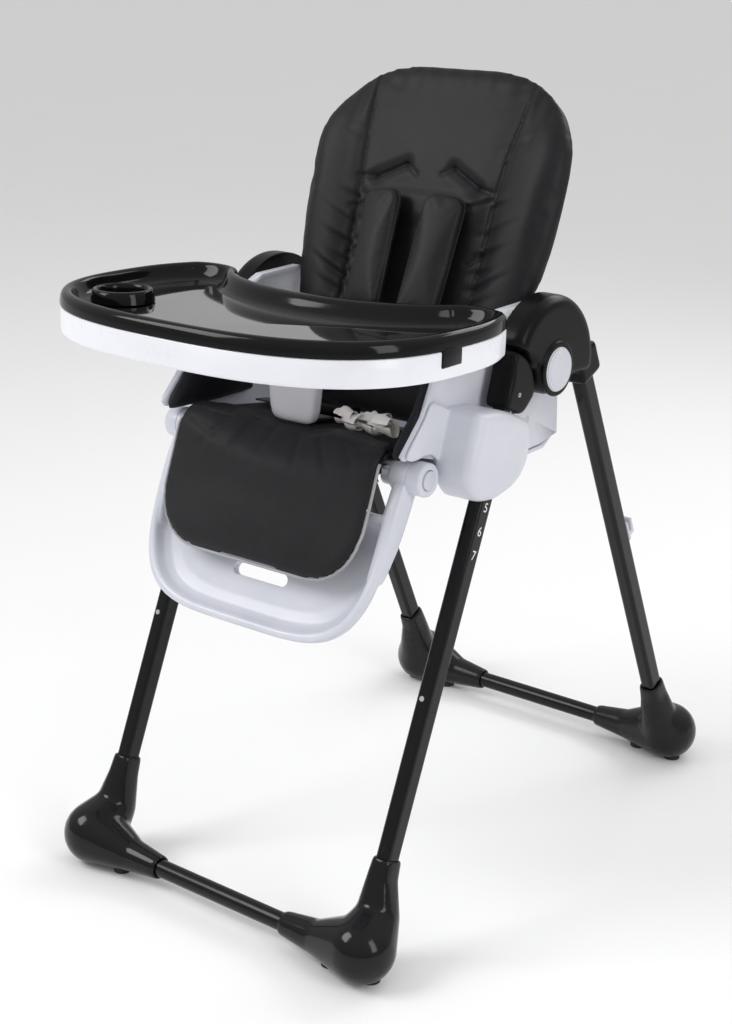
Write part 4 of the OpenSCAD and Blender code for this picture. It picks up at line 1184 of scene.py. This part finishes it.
# Care labels: a crumpled bunch of blank ribbon loops ---------------------------------------------
random.seed(7)
ribbons = []
for j in range(8):
    x0 = 0.072 + 0.0098 * j
    wide = 0.024 + 0.008 * random.random()
    turn = random.uniform(-0.45, 0.45)
    start = 0.022 + 0.018 * random.random()
    long, high = 0.010 + 0.006 * random.random(), 0.014 + 0.009 * random.random()
    ops.mesh.primitive_grid_add(x_subdivisions=6, y_subdivisions=30, size=1)
    strip = bpy.context.object
    co = np.zeros((7 * 31, 3))
    for i in range(31):
        t = i / 30
        a = math.pi * (1.9 * t - 0.45)
        y = start + long * math.sin(a) + 0.004 * math.sin(4 * t + j)
        z = 0.006 + high * (1 - math.cos(a)) / 1.6 + 0.002 * math.sin(7 * t + 2 * j)
        for k in range(7):
            u = k / 6 - 0.5
            curl = 0.0025 * math.cos(5 * u + 2 * j) * math.sin(math.pi * t)
            co[i * 7 + k] = ON_SEAT @ Vector((x0 + u * wide * math.cos(turn),
                                              y + u * wide * math.sin(turn) * 0.6 + curl,
                                              max(0.002, z + curl + 0.10 * turn * u * wide)))
    set_points(strip, co)
    settle(strip, f"label_{j}")
    apply(strip, "SOLIDIFY", thickness=0.0004, offset=0)
    apply(strip, "SUBSURF", levels=1, render_levels=1)
    ribbons.append(strip)
labels = joined(ribbons, clean=False)
labels.name = "care_label_ribbons"
pick(labels)
ops.object.shade_smooth()
stand_for(labels, "seat", "care_labels", RIBBON)

# Camera, light and floor ---------------------------------------------------------------------------
cam = bpy.data.objects.new("camera", bpy.data.cameras.new("camera"))
bpy.context.scene.collection.objects.link(cam)
cam.data.lens = 62.8
cam.data.sensor_width = 36
cam.matrix_world = (Matrix.Translation((1.4571, -1.9045, 1.3199))
                    @ Matrix.Rotation(math.radians(38.29), 4, "Z")
                    @ Matrix.Rotation(math.radians(90 - 19.45), 4, "X")
                    @ Matrix.Rotation(math.radians(-0.22), 4, "Z"))
cam.data.clip_end = 100
bpy.context.scene.camera = cam

ops.mesh.primitive_plane_add(size=90, location=(0, 0, 0))
ground = settle(bpy.context.object, "floor")
paper = Finish("floor_paper")
grain = paper.tint(paper.noise(3, 2), (0.94, 0.94, 0.94), (0.96, 0.96, 0.96))
ground.data.materials.append(paper.done(Base_Color=grain, Roughness=0.85))

world = bpy.data.worlds.new("studio")
bpy.context.scene.world = world
world.use_nodes = True
sky = world.node_tree
where = sky.nodes.new("ShaderNodeTexCoord")
split = sky.nodes.new("ShaderNodeSeparateXYZ")
ramp = sky.nodes.new("ShaderNodeValToRGB")
ramp.color_ramp.elements[0].position, ramp.color_ramp.elements[0].color = 0.0, (0.62, 0.62, 0.63, 1)
ramp.color_ramp.elements[1].position, ramp.color_ramp.elements[1].color = 0.75, (1.0, 1.0, 1.0, 1)
sky.links.new(where.outputs["Generated"], split.inputs[0])
sky.links.new(split.outputs["Z"], ramp.inputs[0])
sky.links.new(ramp.outputs[0], sky.nodes["Background"].inputs[0])
sky.nodes["Background"].inputs[1].default_value = 0.70


def lamp(name, at, aim, size, power):
    data = bpy.data.lights.new(name, "AREA")
    data.shape = "RECTANGLE"
    data.size, data.size_y = size
    data.energy = power
    obj = bpy.data.objects.new(name, data)
    bpy.context.scene.collection.objects.link(obj)
    obj.location = at
    obj.rotation_euler = (Vector(aim) - Vector(at)).to_track_quat("-Z", "Y").to_euler()
    return obj


lamp("key", (-1.7, -2.0, 2.6), (0, 0, 0.6), (1.5, 1.5), 48)
lamp("fill", (2.6, -0.6, 1.7), (0, 0, 0.6), (0.9, 1.8), 20)
lamp("back", (0.4, 2.4, 2.2), (0, 0, 0.8), (2.2, 0.9), 21)
bpy.context.scene.view_settings.view_transform = "Standard"
